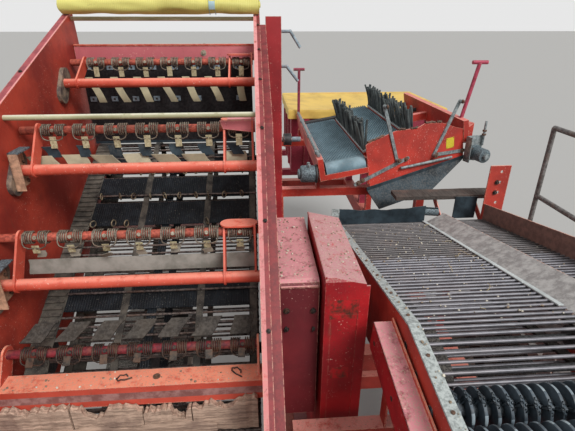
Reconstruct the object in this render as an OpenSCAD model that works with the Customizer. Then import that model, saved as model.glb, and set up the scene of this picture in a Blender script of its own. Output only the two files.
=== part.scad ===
// Trailed side-digging potato harvester with a bunker, in millimetres.
// +X is the machine's left, +Y its rear, +Z up; the ground is at z = 0.
// The origin is under the middle of the machine's box.

/* [Overall] */
// Width over the chain guard and the platform
overall_w = 3200; // [3160:10:3300]
// Length from the drawbar eye's tip to the hopper's rear wall
overall_l = 9600; // [9560:10:9800]
// Gap between pieces that are bolted or rest on each other
seat = 0.3; // [0.3:0.1:0.5]

/* [Elevator] */
// Inner width between the elevator's walls
el_w = 1000; // [980:5:1020]
// Inner face of the wall beside the picking table
el_left = -460; // [-465:1:-455]
// Thickness of the elevator's walls
wall_t = 6; // [5:0.5:8]
// Width of the flange along the top of a wall
wall_flange = 35; // [30:1:38]
// Pitch of the sieve web's rods
sieve_pitch = 48; // [40:1:56]
// Diameter of every web rod
rod_d = 11; // [10:0.5:12]
// Thickness of every web belt
belt_t = 10; // [8:0.5:12]
// Width of a web belt
belt_w = 40; // [30:1:50]
// Pitch of the haulm web's cross rods
haulm_pitch = 300; // [260:5:340]
// Width of a haulm web strap
strap_w = 30; // [24:1:36]

/* [Strippers] */
// Diameter of the plain tubes
tube_d = 46; // [42:1:50]
// Diameter of the stripper shafts
shaft_d = 34; // [30:1:38]
// Groups of springs and flaps on a shaft
stripper_groups = 7; // [5:1:8]
// Distance between two groups
group_pitch = 130; // [124:1:132]
// Wire of the coil springs
coil_wire = 5; // [4:0.5:6]
// Width of a spring's clip
clip_w = 26; // [22:1:30]
// Rings in a coil spring
coil_rings = 4; // [3:1:5]
// Width of a rubber flap
flap_w = 98; // [80:1:99]
// Thickness of a rubber flap
flap_t = 8; // [6:0.5:10]

/* [Picking table] */
// Left edge of the table's web
table_left = 40; // [36:1:44]
// Width of the table's web
table_w = 560; // [540:5:570]
// Pitch of the table's rods
table_pitch = 32; // [28:1:40]
// Width of the trash web beside it
trash_w = 250; // [240:5:260]
// Outer diameter of a lobed disc roller
disc_d = 118; // [110:1:120]
// Pitch of the disc rollers
roller_pitch = 125; // [124:0.5:130]
// Pitch of the discs on a roller
disc_pitch = 36; // [34:1:44]
// Diameter of the disc rollers' journals
journal_d = 30; // [26:1:34]

/* [Separator] */
// Lateral rise of the separator, in degrees
sep_rise = 10; // [8:0.5:12]
// Length of a rubber finger
finger_l = 204; // [160:2:220]
// Pitch of the fingers in a comb
finger_pitch = 48; // [44:1:56]
// Width of a studded belt
stud_belt_w = 280; // [260:5:300]

/* [Chassis] */
// Width of a chassis rail
rail_w = 120; // [110:5:130]
// Height of a chassis rail
rail_h = 160; // [150:5:170]
// Height of the rails' underside
rail_z = 900; // [890:5:910]
// Axle's place along the machine
axle_y = 1500; // [1480:5:1520]
// Side of the square axle beam
axle_side = 120; // [110:5:130]

/* [Wheels] */
// Tyre diameter
tyre_d = 1200; // [1180:5:1210]
// Tyre width
tyre_w = 500; // [460:5:510]
// Rim diameter
rim_d = 680; // [640:5:700]
// Distance between the wheels' middles
track_w = 2400; // [2380:5:2410]
// Diameter of the hub's spindle
spindle_d = 70; // [60:1:80]

/* [Drawbar] */
// Side of the square drawbar
drawbar_side = 140; // [130:5:150]
// Hole of the drawbar eye
eye_hole_d = 50; // [40:1:52]
// Height of the drawbar eye
eye_z = 600; // [560:10:640]
// Side of the jack's square leg
jack_side = 76; // [70:1:80]
// Side of the jack's foot plate
foot_side = 260; // [200:10:300]
// Diameter of the drive's input stub
stub_d = 34.9; // [34.9:0.1:35.1]

/* [Intake] */
// Inner width between the intake's side plates
intake_w = 928; // [920:2:932]
// Slope of the intake web, in degrees
intake_slope = 19; // [18:0.5:20]
// Diameter of the diabolo roller at its ends
diabolo_d = 420; // [380:10:440]
// Diameter of the disc coulters
coulter_d = 560; // [500:10:580]

/* [Bunker] */
// Length of the bunker
bunker_l = 2330; // [2300:10:2350]
// Height of the bunker's upper edge
bunker_top = 1900; // [1850:10:1930]
// Sheet thickness of the bunker
bunker_t = 5; // [4:0.5:6]
// Width of a slat of the moving floor
slat_w = 50; // [40:1:60]

/* [Platform] */
// Height of the platform's deck
deck_z = 1350; // [1340:5:1360]
// Height of the hand rails over the deck
guard_h = 1000; // [950:10:1050]
// Diameter of the hand rails
guard_d = 34; // [30:1:38]

/* [Hidden] */

// Extents
x_left = overall_w / 2;
x_right = -overall_w / 2;
y_front = -overall_l / 2;
y_rear = overall_l / 2;

// Elevator, seen from the side: every point is [y, z]
el_right = el_left - el_w;
wall_kink = [920, 2700];
wall_low_angle = 45.5;
wall_up_angle = 21.5;
wall_front_y = -575;
wall_rear_y = 1850;
sieve_pulleys = [[-250, 850, 90], [1840, 2200, 90], [700, 1650, 90]];
strap_t = 6;
guard_t = 4;

// Strippers: plain tube's place, then the shaft's offset from it and the flaps' tilt
STRIPPERS = [[1530, 2720, 150, 90, 5], [920, 2450, 110, 140, 5], [600, 2100, 100, 150, 5]];
near_row = [490, 1862, -125];
arm_t = 8;
arm_xs = [el_right + 80, el_left - 140];

// Table, seen from the side
table_pulleys = [[110, 2045, 40], [1520, 1795, 40], [215, 2066, 40]];
trash_pulleys = [[330, 2040, 40], [1560, 1785, 40]];
table_right = table_left + table_w;
trash_left = table_right + 145;
trash_right = trash_left + trash_w;
side_t = 6;
roller_y = -8;
roller_z = 2032;

// Separator: its own frame rises to the left side from this corner
sep_corner = [0, 1950, 2118];
COMBS = [[300, 90, 1120], [686, 240, 1300]];
SEP_BELTS = [[6, 60, 1230], [390, 215, 1390]];
sep_pulley_r = 55;

// Chassis
rail_mid_x = -310;
rail_left_x = 760;
rail_top = rail_z + rail_h;
rail_mid_in = rail_mid_x - rail_w / 2;
rail_left_out = rail_left_x + rail_w / 2;
outrigger_y = 1560;
outrigger_z = 1858;
pin_r = 15;
front_beam_y = -2960;
chassis_rear_y = y_rear - 110;
wheel_left_x = track_w / 2;
wheel_right_x = -track_w / 2;
wheel_r = tyre_d / 2;

// Drawbar
pivot = [200, front_beam_y - 100];
pivot_pin_d = 60;
eye_r = 50;
eye_y = y_front + eye_r;
jack_x = pivot[0] + drawbar_side / 2 + 55;
jack_y = eye_y + 700;

// Intake, seen from the side
intake_head = [-480, 1100];
intake_nose_y = -2430;
intake_nose = [intake_nose_y,
  intake_head[1] - (intake_head[0] - intake_nose_y) * tan(intake_slope)];
intake_mid_x = el_left - el_w / 2;
intake_side_t = 8;
diabolo_reach = 570;
coulter_at = [-20, 60];
intake_pulleys = [[intake_nose[0], intake_nose[1], 70], [-480, 1100, 90]];

// Bunker
bunker_front_y = -2760;
bunker_rear_y = bunker_front_y + bunker_l;
bunker_floor_z = rail_top + 70;
hinge_x = 1040;
hinge_z = bunker_floor_z - 10;
discharge_tip = [1540, 2050];

// Boxes between two corners, and outlines drawn along an axis
module box(a, b) translate(a) cube(b - a);
module along_x(x0, x1) translate([x0, 0, 0]) rotate([90, 0, 90]) linear_extrude(x1 - x0) children();
module along_y(y0, y1) translate([0, y1, 0]) rotate([90, 0, 0]) linear_extrude(y1 - y0) children();
// Radius of a roller inside a band whose arcs are drawn in short chords
function under_band(r) = r * cos(arc_step / 2) - seat;
module rod_x(x0, x1, y, z, r) translate([x0, y, z]) rotate([0, 90, 0]) cylinder(h = x1 - x0, r = r, $fn = 32);
module rod_y(y0, y1, x, z, r) translate([x, y1, z]) rotate([90, 0, 0]) cylinder(h = y1 - y0, r = r, $fn = 32);

// A flat bar between two points of a plane, with round ends
module bar2(a, b, w) {
  d = b - a;
  translate(a) rotate(atan2(d[1], d[0])) {
    translate([0, -w / 2]) square([norm(d), w]);
    circle(d = w, $fn = 32);
    translate([norm(d), 0]) circle(d = w, $fn = 32);
  }
}

// A loop round pulleys [y, z, r], listed counter-clockwise; grow lifts it off them
arc_step = 12;
function tangent_angle(a, b) = atan2(b[1] - a[1], b[0] - a[0])
  - acos((a[2] - b[2]) / norm([b[0] - a[0], b[1] - a[1]]));
function turned(a, b) = b < a ? turned(a, b + 360) : b;
function loop_path(pulleys, grow) = [for (i = [0:len(pulleys) - 1])
  let (n = len(pulleys), p = pulleys[i],
    first = tangent_angle(pulleys[(i + n - 1) % n], p),
    last = turned(first, tangent_angle(p, pulleys[(i + 1) % n])),
    parts = ceil((last - first) / arc_step))
  for (k = [0:parts])
    let (t = first + (last - first) * k / parts)
    [p[0] + (p[2] + grow) * cos(t), p[1] + (p[2] + grow) * sin(t)]];
function lengths(path) = [for (i = [0:len(path) - 1]) norm(path[(i + 1) % len(path)] - path[i])];
function sum_to(v, n) = n <= 0 ? 0 : v[n - 1] + sum_to(v, n - 1);
function place_at(path, steps, s, i = 0) = s <= steps[i] || i == len(path) - 1
  ? path[i] + (path[(i + 1) % len(path)] - path[i]) * s / max(steps[i], 0.001)
  : place_at(path, steps, s - steps[i], i + 1);

module loop_band(pulleys, low, high, x0, x1) along_x(x0, x1) difference() {
  polygon(loop_path(pulleys, high));
  polygon(loop_path(pulleys, low));
}
module loop_rods(pulleys, grow, pitch, x0, x1, d) {
  path = loop_path(pulleys, grow);
  steps = lengths(path);
  total = sum_to(steps, len(steps));
  count = floor(total / pitch);
  for (k = [0:count - 1]) {
    p = place_at(path, steps, k * total / count);
    rod_x(x0, x1, p[0], p[1], d / 2);
  }
}

// Chassis and wheels
module chassis() color("firebrick") {
  difference() {
    union() {
      for (x = [rail_mid_x, rail_left_x])
        box([x - rail_w / 2, front_beam_y, rail_z], [x + rail_w / 2, chassis_rear_y, rail_top]);
      for (y = [front_beam_y, -430, 1250, 2700, chassis_rear_y - 100])
        box([rail_mid_x, y, rail_z + 10], [rail_left_x, y + 100, rail_top - 10]);
      // Lugs that hold the drawbar's pin
      for (z = [rail_z, rail_top - 25])
        box([pivot[0] - 70, pivot[1] - 60, z], [pivot[0] + 70, front_beam_y, z + 25]);
      // Outrigger under the elevator's head, on the middle rail, and its front seat
      box([el_right - wall_t, outrigger_y, outrigger_z - 60], [rail_mid_in + 60, outrigger_y + 80, outrigger_z]);
      box([rail_mid_in, outrigger_y, rail_top], [rail_mid_in + 60, outrigger_y + 80, outrigger_z - 60]);
      box([el_left + wall_t + seat, -430, rail_z + 40], [rail_mid_in, -330, rail_top - 20]);
      // Post and pin of the lift cylinder
      box([rail_mid_in - 30, lift_a[1] - 50, rail_z + 50], [rail_mid_in, lift_a[1] + 50, lift_a[2] + 40]);
      rod_x(lift_a[0] - 26, rail_mid_in - 30, lift_a[1], lift_a[2], pin_r);
      // Lugs and pin of the discharge cylinder
      for (y = [dis_a[1] - 32, dis_a[1] + 26]) along_y(y, y + 6)
        polygon([[rail_left_out - 20, rail_z], [rail_left_out, rail_z + 80], [dis_a[0] + 30, dis_a[2]],
          [dis_a[0], dis_a[2] - 30], [dis_a[0] - 30, dis_a[2] - 20]]);
      rod_y(dis_a[1] - 32, dis_a[1] + 32, dis_a[0], dis_a[2], pin_r);
      // Lugs and pin of the steering cylinder
      for (z = [steer_a[2] - 42, steer_a[2] + 26])
        box([steer_a[0] - 30, steer_a[1] - 20, z], [steer_a[0] + 30, front_beam_y + 20, z + 16]);
      box([steer_a[0] - 30, front_beam_y, steer_a[2] - 42], [steer_a[0] + 30, front_beam_y + 20, rail_z]);
      translate([steer_a[0], steer_a[1], steer_a[2] - 42]) cylinder(h = 84, r = pin_r, $fn = 32);
    }
    translate([pivot[0], pivot[1], rail_z - 1]) cylinder(h = rail_h + 2, d = pivot_pin_d + 2 * seat, $fn = 48);
  }
}

module axle_beam() color("firebrick") {
  inner = tyre_w / 2 + 40;
  half = axle_side / 2;
  box([wheel_right_x + inner, axle_y - half, wheel_r - half], [wheel_left_x - inner, axle_y + half, wheel_r + half]);
  rod_x(wheel_right_x - 60, wheel_left_x + 60, axle_y, wheel_r, spindle_d / 2);
  for (x = [rail_mid_x, rail_left_x])
    box([x - 50, axle_y - half, wheel_r + half], [x + 50, axle_y + half, rail_z - seat]);
}

module rim(x, side) color("gainsboro") translate([x, axle_y, wheel_r]) rotate([0, side * 90, 0]) {
  half = tyre_w / 2;
  difference() {
    rotate_extrude($fn = 64) polygon([[rim_d / 2 - 14, -half + 70], [rim_d / 2 - 4, -half + 70], [rim_d / 2 - 4, half - 70],
      [rim_d / 2 - 14, half - 70], [rim_d / 2 - 30, half - 90], [rim_d / 2 - 30, half - 130],
      [210, 40], [150, 60], [110, 60], [110, 90], [spindle_d / 2 + seat, 90],
      [spindle_d / 2 + seat, -70], [100, -70], [100, 44], [150, 44], [205, 26],
      [rim_d / 2 - 40, half - 138], [rim_d / 2 - 40, -half + 90]]);
    for (k = [0:7]) rotate(k * 45) translate([178, 0, 0]) cylinder(h = 100, r = 18, $fn = 32);
  }
  for (k = [0:9]) rotate(k * 36) translate([85, 0, 90 - 2]) cylinder(h = 20, r = 12, $fn = 32);
}

lug_h = 24;
lug_count = 18;
module tyre(x) color("dimgray") translate([x, axle_y, wheel_r]) rotate([0, 90, 0]) {
  half = tyre_w / 2;
  bead = rim_d / 2 - 4 + seat;
  rotate_extrude($fn = 64) polygon(concat([[bead, -half + 72], [bead + 60, -half + 12], [bead + 120, -half], [bead + 190, -half + 14]],
    [for (k = [-4:4]) [wheel_r - lug_h - pow(k * half / 5, 2) / 900, k * half / 5]],
    [[bead + 190, half - 14], [bead + 120, half], [bead + 60, half - 12], [bead, half - 72]]));
  for (k = [0:lug_count - 1]) for (s = [-1, 1])
    rotate([0, 0, (k + (s + 1) / 4) * 360 / lug_count]) translate([wheel_r - lug_h - 20.7, 0, s * 112])
      rotate([0, -s * 10, 0]) rotate([s * 32, 0, 0]) translate([-14, -18, -122]) cube([14 + lug_h, 36, 236]);
}

// Drawbar, jack and drive
module drawbar() color("firebrick") {
  x0 = pivot[0] - drawbar_side / 2;
  x1 = pivot[0] + drawbar_side / 2;
  ear_top = rail_top - 25 - 5;
  ear_low = rail_z + 25 + 5;
  difference() {
    union() {
      along_x(x0, x1) polygon([[pivot[1] + 45, ear_low], [pivot[1] + 45, ear_top], [pivot[1] - 200, ear_top],
        [eye_y + 350, eye_z + 70], [eye_y + 190, eye_z + 45],
        [eye_y + 190, eye_z - 45], [eye_y + 350, eye_z - 70], [pivot[1] - 200, ear_low]]);
      box([pivot[0] - 30, eye_y + 20, eye_z - 15], [pivot[0] + 30, eye_y + 200, eye_z + 15]);
      translate([pivot[0], eye_y, eye_z - 15]) cylinder(h = 30, r = eye_r, $fn = 48);
      // Jack's outer tube and its lug
      box([x1, jack_y - 40, eye_z + 40], [jack_x - 45, jack_y + 40, eye_z + 130]);
      box([jack_x - 46, jack_y - 46, 420], [jack_x + 46, jack_y + 46, 1120]);
      // Lugs of the steering rod's pin
      for (z = [steer_b[2] - 45, steer_b[2] + 25])
        box([x0 - 78, steer_b[1] - 40, z], [x0, steer_b[1] + 40, z + 20]);
    }
    box([jack_x - jack_side / 2 - seat, jack_y - jack_side / 2 - seat, 400],
      [jack_x + jack_side / 2 + seat, jack_y + jack_side / 2 + seat, 1100]);
    translate([pivot[0], eye_y, eye_z - 20]) cylinder(h = 40, d = eye_hole_d, $fn = 48);
      }
  for (z = [steer_b[2] - 53, steer_b[2] + 45])
    translate([steer_b[0], steer_b[1], z]) cylinder(h = 8, r = pin_r + 6, $fn = 32);
  // Pin through the chassis lugs
  translate([pivot[0], pivot[1], rail_z - 20]) cylinder(h = rail_h + 40, d = pivot_pin_d, $fn = 48);
}

module jack_leg() color("silver") {
  box([jack_x - jack_side / 2, jack_y - jack_side / 2, 15], [jack_x + jack_side / 2, jack_y + jack_side / 2, 740]);
  box([jack_x - foot_side / 2, jack_y - foot_side / 2, 0], [jack_x + foot_side / 2, jack_y + foot_side / 2, 15]);
}

module gearbox() color("dimgray") {
  x = 520;
  box([x - 100, front_beam_y - 150, rail_z], [x + 100, front_beam_y - seat, rail_top]);
  rod_x(x - 130, x + 130, front_beam_y - 80, rail_z + rail_h / 2, 62);
  rod_y(front_beam_y - 170, front_beam_y - 150, x, rail_z + rail_h / 2, 72);
  rod_y(front_beam_y - 200, front_beam_y - 170, x, rail_z + rail_h / 2, 34);
  for (z = [rail_z - 8, rail_top]) box([x - 115, front_beam_y - 140, z], [x + 115, front_beam_y - 20, z + 8]);
  rod_y(front_beam_y - 280, front_beam_y - 170, x, rail_z + rail_h / 2, stub_d / 2);
}

// A cylinder between two pins: [x, y, z] each; the rod slides out of the barrel
module at_pins(a, b) {
  d = b - a;
  translate(a) rotate([0, acos(d[2] / norm(d)), atan2(d[1], d[0])]) children();
}
module barrel(a, b, axis, r, reach) {
  difference() {
    union() {
      at_pins(a, b) translate([0, 0, 26]) cylinder(h = reach - 26, r = r, $fn = 48);
      translate(a) rotate(axis) cylinder(h = 44, r = 30, center = true, $fn = 48);
    }
    at_pins(a, b) translate([0, 0, 48]) cylinder(h = reach, r = r * 0.55 + seat, $fn = 48);
    translate(a) rotate(axis) cylinder(h = 60, r = pin_r + seat, center = true, $fn = 48);
  }
}
module piston_rod(a, b, axis, r, inner) {
  l = norm(b - a);
  difference() {
    union() {
      at_pins(a, b) translate([0, 0, inner]) cylinder(h = l - inner - 25, r = r * 0.55, $fn = 48);
      translate(b) rotate(axis) cylinder(h = 40, r = 28, center = true, $fn = 48);
    }
    translate(b) rotate(axis) cylinder(h = 60, r = pin_r + seat, center = true, $fn = 48);
  }
}
AXIS_X = [0, 90, 0];
AXIS_Y = [90, 0, 0];
AXIS_Z = [0, 0, 0];

steer_a = [rail_mid_x, front_beam_y - 60, eye_z + 165];
steer_b = [pivot[0] - drawbar_side / 2 - 50, -3760, eye_z + 165];
module steer_barrel() color("dimgray") barrel(steer_a, steer_b, AXIS_Z, 24, 570);
module steer_rod() color("silver") piston_rod(steer_a, steer_b, AXIS_Z, 24, 230);

// Intake
intake_x0 = intake_mid_x - intake_w / 2;
intake_x1 = intake_mid_x + intake_w / 2;
coulter_xs = [intake_x1 + 50, intake_x0 - 50];
module intake_plate(x0) along_x(x0, x0 + intake_side_t) difference() {
  n = intake_nose;
  h = intake_head;
  union() {
    polygon([[n[0] - 260, n[1] - 130], [n[0] - 260, n[1] - 30], [n[0] - 120, n[1] + 160], [n[0] + 500, n[1] + 470],
      [h[0] - 150, h[1] + 230], [h[0], h[1] + 145], [h[0], h[1] - 145], [h[0] - 120, h[1] - 190], [n[0] + 100, n[1] - 150]]);
    translate(h) circle(r = 145, $fn = 48);
  }
  translate(h) circle(r = 25 + seat, $fn = 48);
  translate(n) circle(r = 20 + seat, $fn = 48);
}
module intake_frame() color("firebrick") {
  n = intake_nose;
  intake_plate(intake_x0 - intake_side_t);
  intake_plate(intake_x1);
  // Cross beam under the web, roller arms and coulter arms
  box([intake_x0, -1500, 540], [intake_x1, -1420, 600]);
  for (x = [intake_x0 - intake_side_t, intake_x1])
    along_x(x, x + intake_side_t) bar2([n[0] - 50, n[1] + 150], [n[0] - diabolo_reach, n[1] + 60], 70);
  rod_x(intake_x0 - 8, intake_x1 + 8, n[0] - diabolo_reach, n[1] + 60, 17);
  // Coulter spindles and the lift rod's pin
  rod_x(intake_x1 + 4, coulter_xs[0] + 20, n[0] + coulter_at[0], n[1] + coulter_at[1], 18 - seat);
  rod_x(coulter_xs[1] - 20, intake_x0 - 4, n[0] + coulter_at[0], n[1] + coulter_at[1], 18 - seat);
  rod_x(intake_x1 + 4, lift_b[0] - 25, lift_b[1], lift_b[2], pin_r + 10);
}
intake_belt_xs = [intake_x0 + 12, intake_mid_x - belt_w / 2, intake_x1 - 12 - belt_w];
module share() color("darkgray") {
  n = intake_nose;
  along_x(intake_x0 + seat, intake_x1 - seat)
    polygon([[n[0] - 100, n[1] - 30], [n[0] - 100, n[1] - 18], [n[0] - 330, n[1] - 110], [n[0] - 330, n[1] - 118]]);
}
module intake_rods() color("slategray") {
  loop_rods(intake_pulleys, belt_t + seat + rod_d / 2, sieve_pitch, intake_x0 + 8, intake_x1 - 8, rod_d);
  rod_x(el_right - wall_t - 20, el_left + wall_t + 20, intake_head[0], intake_head[1], 25);
  rod_x(intake_x0 - 20, intake_x1 + 20, intake_nose[0], intake_nose[1], 20);
  for (p = intake_pulleys) for (x = intake_belt_xs) rod_x(x, x + belt_w, p[0], p[1], under_band(p[2]));
}
module intake_belts() color("black")
  for (x = intake_belt_xs)
    loop_band(intake_pulleys, 0, belt_t, x, x + belt_w);
module diabolo_roller() color("dimgray") {
  n = intake_nose;
  translate([intake_mid_x, n[0] - diabolo_reach, n[1] + 60]) rotate([0, 90, 0]) rotate_extrude($fn = 64)
    polygon([[17 + seat, -300], [diabolo_d / 2, -300], [diabolo_d / 2, -280], [diabolo_d / 2 - 100, -60],
      [diabolo_d / 2 - 100, 60], [diabolo_d / 2, 280], [diabolo_d / 2, 300], [17 + seat, 300]]);
}
module coulter(x) color("darkgray") translate([x, intake_nose[0] + coulter_at[0], intake_nose[1] + coulter_at[1]])
  rotate([0, 90, 0]) difference() {
    union() {
      cylinder(h = 8, r = coulter_d / 2, center = true, $fn = 64);
      cylinder(h = 24, r = 60, center = true, $fn = 48);
    }
    cylinder(h = 40, r = 18, center = true, $fn = 48);
  }

lift_a = [-430, -1700, 1250];
lift_b = [-430, -1840, 760];
module lift_barrel() color("dimgray") barrel(lift_a, lift_b, AXIS_X, 26, 400);
module lift_rod() color("silver") piston_rod(lift_a, lift_b, AXIS_X, 26, 122);

// Elevator
function wall_top(y) = y < wall_kink[0]
  ? wall_kink[1] - (wall_kink[0] - y) * tan(wall_low_angle)
  : wall_kink[1] + (y - wall_kink[0]) * tan(wall_up_angle);
module wall_outline() polygon([[wall_front_y, 960], [wall_front_y, wall_top(wall_front_y)], wall_kink,
  [wall_rear_y, wall_top(wall_rear_y)], [wall_rear_y + 90, 2090], [wall_rear_y - 60, 1990],
  [600, 1310], [-200, 640], [-330, 700]]);
module wall_strip(low, high) polygon([for (p = [[-350, low], [wall_kink[0], low], [wall_rear_y, low],
  [wall_rear_y, high], [wall_kink[0], high], [-350, high]]) [p[0], wall_top(p[0]) + p[1]]]);
module elevator_wall(x, side) {
  difference() {
    along_x(min(x, x + side * wall_t), max(x, x + side * wall_t)) difference() {
      wall_outline();
      for (p = concat(sieve_pulleys, intake_pulleys)) translate([p[0], p[1]]) circle(r = 25 + seat, $fn = 48);
    }
  }
  along_x(min(x, x + side * wall_flange), max(x, x + side * wall_flange)) wall_strip(-6, 0);
  along_x(min(x, x + side * 70), max(x, x + side * 70)) wall_strip(-130, -70);
}
module elevator_wall_left() color("indianred") elevator_wall(el_left, 1);
module elevator_wall_right() color("firebrick") {
  elevator_wall(el_right, -1);
  difference() {
    box([x_right, 1500, 1900], [el_right - wall_t, 1900, 2350]);
    box([x_right + guard_t, 1500 + guard_t, 1900 + guard_t], [el_right - wall_t, 1900 - guard_t, 2350 - guard_t]);
  }
}
beam_near = [370, 1700];
module elevator_beams() color("orangered") {
  box([el_right + seat, beam_near[0], beam_near[1]], [el_left - seat, beam_near[0] + 85, beam_near[1] + 90]);
  box([el_right + seat, wall_rear_y - 60, 2820], [el_left - seat, wall_rear_y - seat, 2890]);
  near_bracket(el_right + 34);
  near_bracket(el_left - 20);
}
module near_bracket(x) along_x(x, x + arm_t) difference() {
  bar2([beam_near[0] + 40, beam_near[1] + 50], [near_row[0], near_row[1]], 70);
  translate([near_row[0], near_row[1]]) circle(r = shaft_d / 2 + seat, $fn = 32);
}
module elevator_boards() color("tan") {
  box([el_right + 20, beam_near[0] - 30 - seat, beam_near[1] - 130], [el_left - 20, beam_near[0] - seat, beam_near[1] + 30]);
  box([trash_left - 40, 1700, 1934 + seat], [trash_right + 130, 1830, 1964]);
}
module tie_rods() color("wheat") {
  rod_x(el_right + seat, el_left - seat, wall_kink[0] + 30, wall_kink[1] - 40, 11);
  rod_x(el_right + seat, el_left - seat, wall_rear_y - 30, wall_top(wall_rear_y) - 40, 11);
}
module elevator_rods() color("slategray") {
  loop_rods(sieve_pulleys, belt_t + seat + rod_d / 2, sieve_pitch, el_right + 14, el_left - 14, rod_d);
  loop_rods(sieve_pulleys, belt_t + seat + rod_d + seat + strap_t + seat + rod_d / 2, haulm_pitch,
    strap_xs[0] + edge_w + 3, el_left - 14, rod_d);
}
strap_xs = [el_right + 20, el_right + 365, el_left - 295, el_left - 20 - strap_w];
module elevator_belts() color("black") {
  for (x = [el_right + 16, el_right + el_w / 2 - belt_w / 2, el_left - 16 - belt_w])
    loop_band(sieve_pulleys, 0, belt_t, x, x + belt_w);
  strap_low = belt_t + seat + rod_d + seat;
  for (k = [0:3])
    loop_band(sieve_pulleys, strap_low, strap_low + strap_t, strap_xs[k], strap_xs[k] + (k == 0 ? edge_w : strap_w));
  // Cleats of the wide edge belt on its upper run
  for (run = [[0, 2], [2, 1]]) {
    a = sieve_pulleys[run[0]];
    b = sieve_pulleys[run[1]];
    l = norm([b[0] - a[0], b[1] - a[1]]);
    translate([strap_xs[0] + 4, a[0], a[1]]) rotate([atan2(b[1] - a[1], b[0] - a[0]), 0, 0])
      for (k = [1:floor(l / cleat_pitch) - 1])
        translate([0, k * cleat_pitch, a[2] + strap_low + strap_t - 1]) cube([edge_w - 8, 15, cleat_h + 1]);
  }
  // Rubber panels between the straps, on the upper run
  for (y = PANEL_ROWS) along_x(strap_xs[0] + edge_w / 2, strap_xs[3] + strap_w / 2)
    polygon([[y, upper_run(y, strap_low + 1)], [y + panel_l, upper_run(y + panel_l, strap_low + 1)],
      [y + panel_l, upper_run(y + panel_l, strap_low + strap_t - 1)], [y, upper_run(y, strap_low + strap_t - 1)]]);
}
edge_w = 92;
cleat_pitch = 34;
cleat_h = 8;
PANEL_ROWS = [795, 1236, 1408, 1580];
panel_l = 140;
web_angle = atan2(sieve_pulleys[1][1] - sieve_pulleys[2][1], sieve_pulleys[1][0] - sieve_pulleys[2][0]);
function upper_run(y, grow) = sieve_pulleys[2][1] + (y - sieve_pulleys[2][0]) * tan(web_angle)
  + (sieve_pulleys[2][2] + grow) / cos(web_angle);
module web_rollers() color("dimgray") {
  for (p = sieve_pulleys) {
    rod_x(el_right - wall_t - 14, el_left + wall_t + 14, p[0], p[1], 25);
    for (x = [el_right + 16, el_right + el_w / 2 - belt_w / 2, el_left - 16 - belt_w])
      rod_x(x, x + belt_w, p[0], p[1], under_band(p[2]));
  }
  for (p = table_pulleys) {
    rod_x(table_left - 40, table_right + 12, p[0], p[1], 12);
    for (x = [table_left + 12, table_right - 12 - belt_w])
      rod_x(x, x + belt_w, p[0], p[1], under_band(p[2]));
  }
  in_separator() for (b = SEP_BELTS) {
    rod_x(b[0] - 12 + seat, b[0] + stud_belt_w + 6 - seat, b[1], -10 - sep_pulley_r, 18);
    rod_x(-6 + seat, 1090 - seat, b[1] + b[2], -10 - sep_pulley_r, 18);
    for (y = [b[1], b[1] + b[2]])
      rod_x(b[0], b[0] + stud_belt_w, y, -10 - sep_pulley_r, under_band(sep_pulley_r - 8));
  }
  for (p = trash_pulleys) {
    rod_x(trash_left - 12, trash_right + 12, p[0], p[1], 12);
    for (x = [trash_left + 8, trash_right - 8 - belt_w])
      rod_x(x, x + belt_w, p[0], p[1], under_band(p[2]));
  }
}

// Strippers
group_x0 = el_right + 145;
ROWS = concat([for (s = STRIPPERS) [s[0] + s[2], s[1] + s[3], s[4]]], [near_row]);
module stripper_tubes() color("tomato") for (s = STRIPPERS) difference() {
  union() {
    rod_x(el_right + seat, el_left - seat, s[0], s[1], tube_d / 2);
    for (x = arm_xs)
      along_x(x, x + arm_t) bar2([s[0], s[1]], [s[0] + s[2], s[1] + s[3]], 60);
    // Clamp block on the right wall, and an adjuster with its plate at the left wall
    along_x(el_right + seat, el_right + 20) bar2([s[0] - 35, s[1] - 50], [s[0] + 35, s[1] + 30], 90);
    along_x(el_left - 20, el_left - 12) bar2([s[0], s[1]], [s[0] + s[2] - 30, s[1] + s[3] + 37], 26);
    translate([0, 0, s[1] + s[3] + 34]) linear_extrude(6)
      bar2([el_left - 115, s[0] + s[2] - 5], [el_left - 40, s[0] + s[2] - 5], 70);
  }
  rod_x(el_right, el_left, s[0] + s[2], s[1] + s[3], shaft_d / 2 + seat);
}
module stripper_shafts() color("tomato") for (r = ROWS)
  rod_x(el_right + 10, el_left - 10, r[0], r[1], shaft_d / 2);
coil_r = shaft_d / 2 + seat + coil_wire / 2;
module coil() rotate_extrude($fn = 32) polygon(concat(
  [[coil_r - coil_wire / 2, 0]], [[coil_r - coil_wire / 2, coil_rings * coil_wire]],
  [for (k = [coil_rings - 1:-1:0]) for (a = [80:-40:-80])
    [coil_r + coil_wire / 2 * cos(a), (k + 0.5) * coil_wire + coil_wire / 2 * sin(a)]]));
module stripper_springs() color("wheat") for (r = ROWS) for (g = [0:stripper_groups - 1])
  translate([group_x0 + g * group_pitch, r[0], r[1]]) rotate([0, 90, 0]) {
    for (side = [0, 1]) mirror([0, 0, side]) translate([0, 0, clip_w / 2 + seat]) coil();
    difference() {
      cylinder(h = clip_w, r = shaft_d / 2 + 5, center = true, $fn = 48);
      cylinder(h = clip_w + 2, r = shaft_d / 2 + seat, center = true, $fn = 48);
    }
  }
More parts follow.
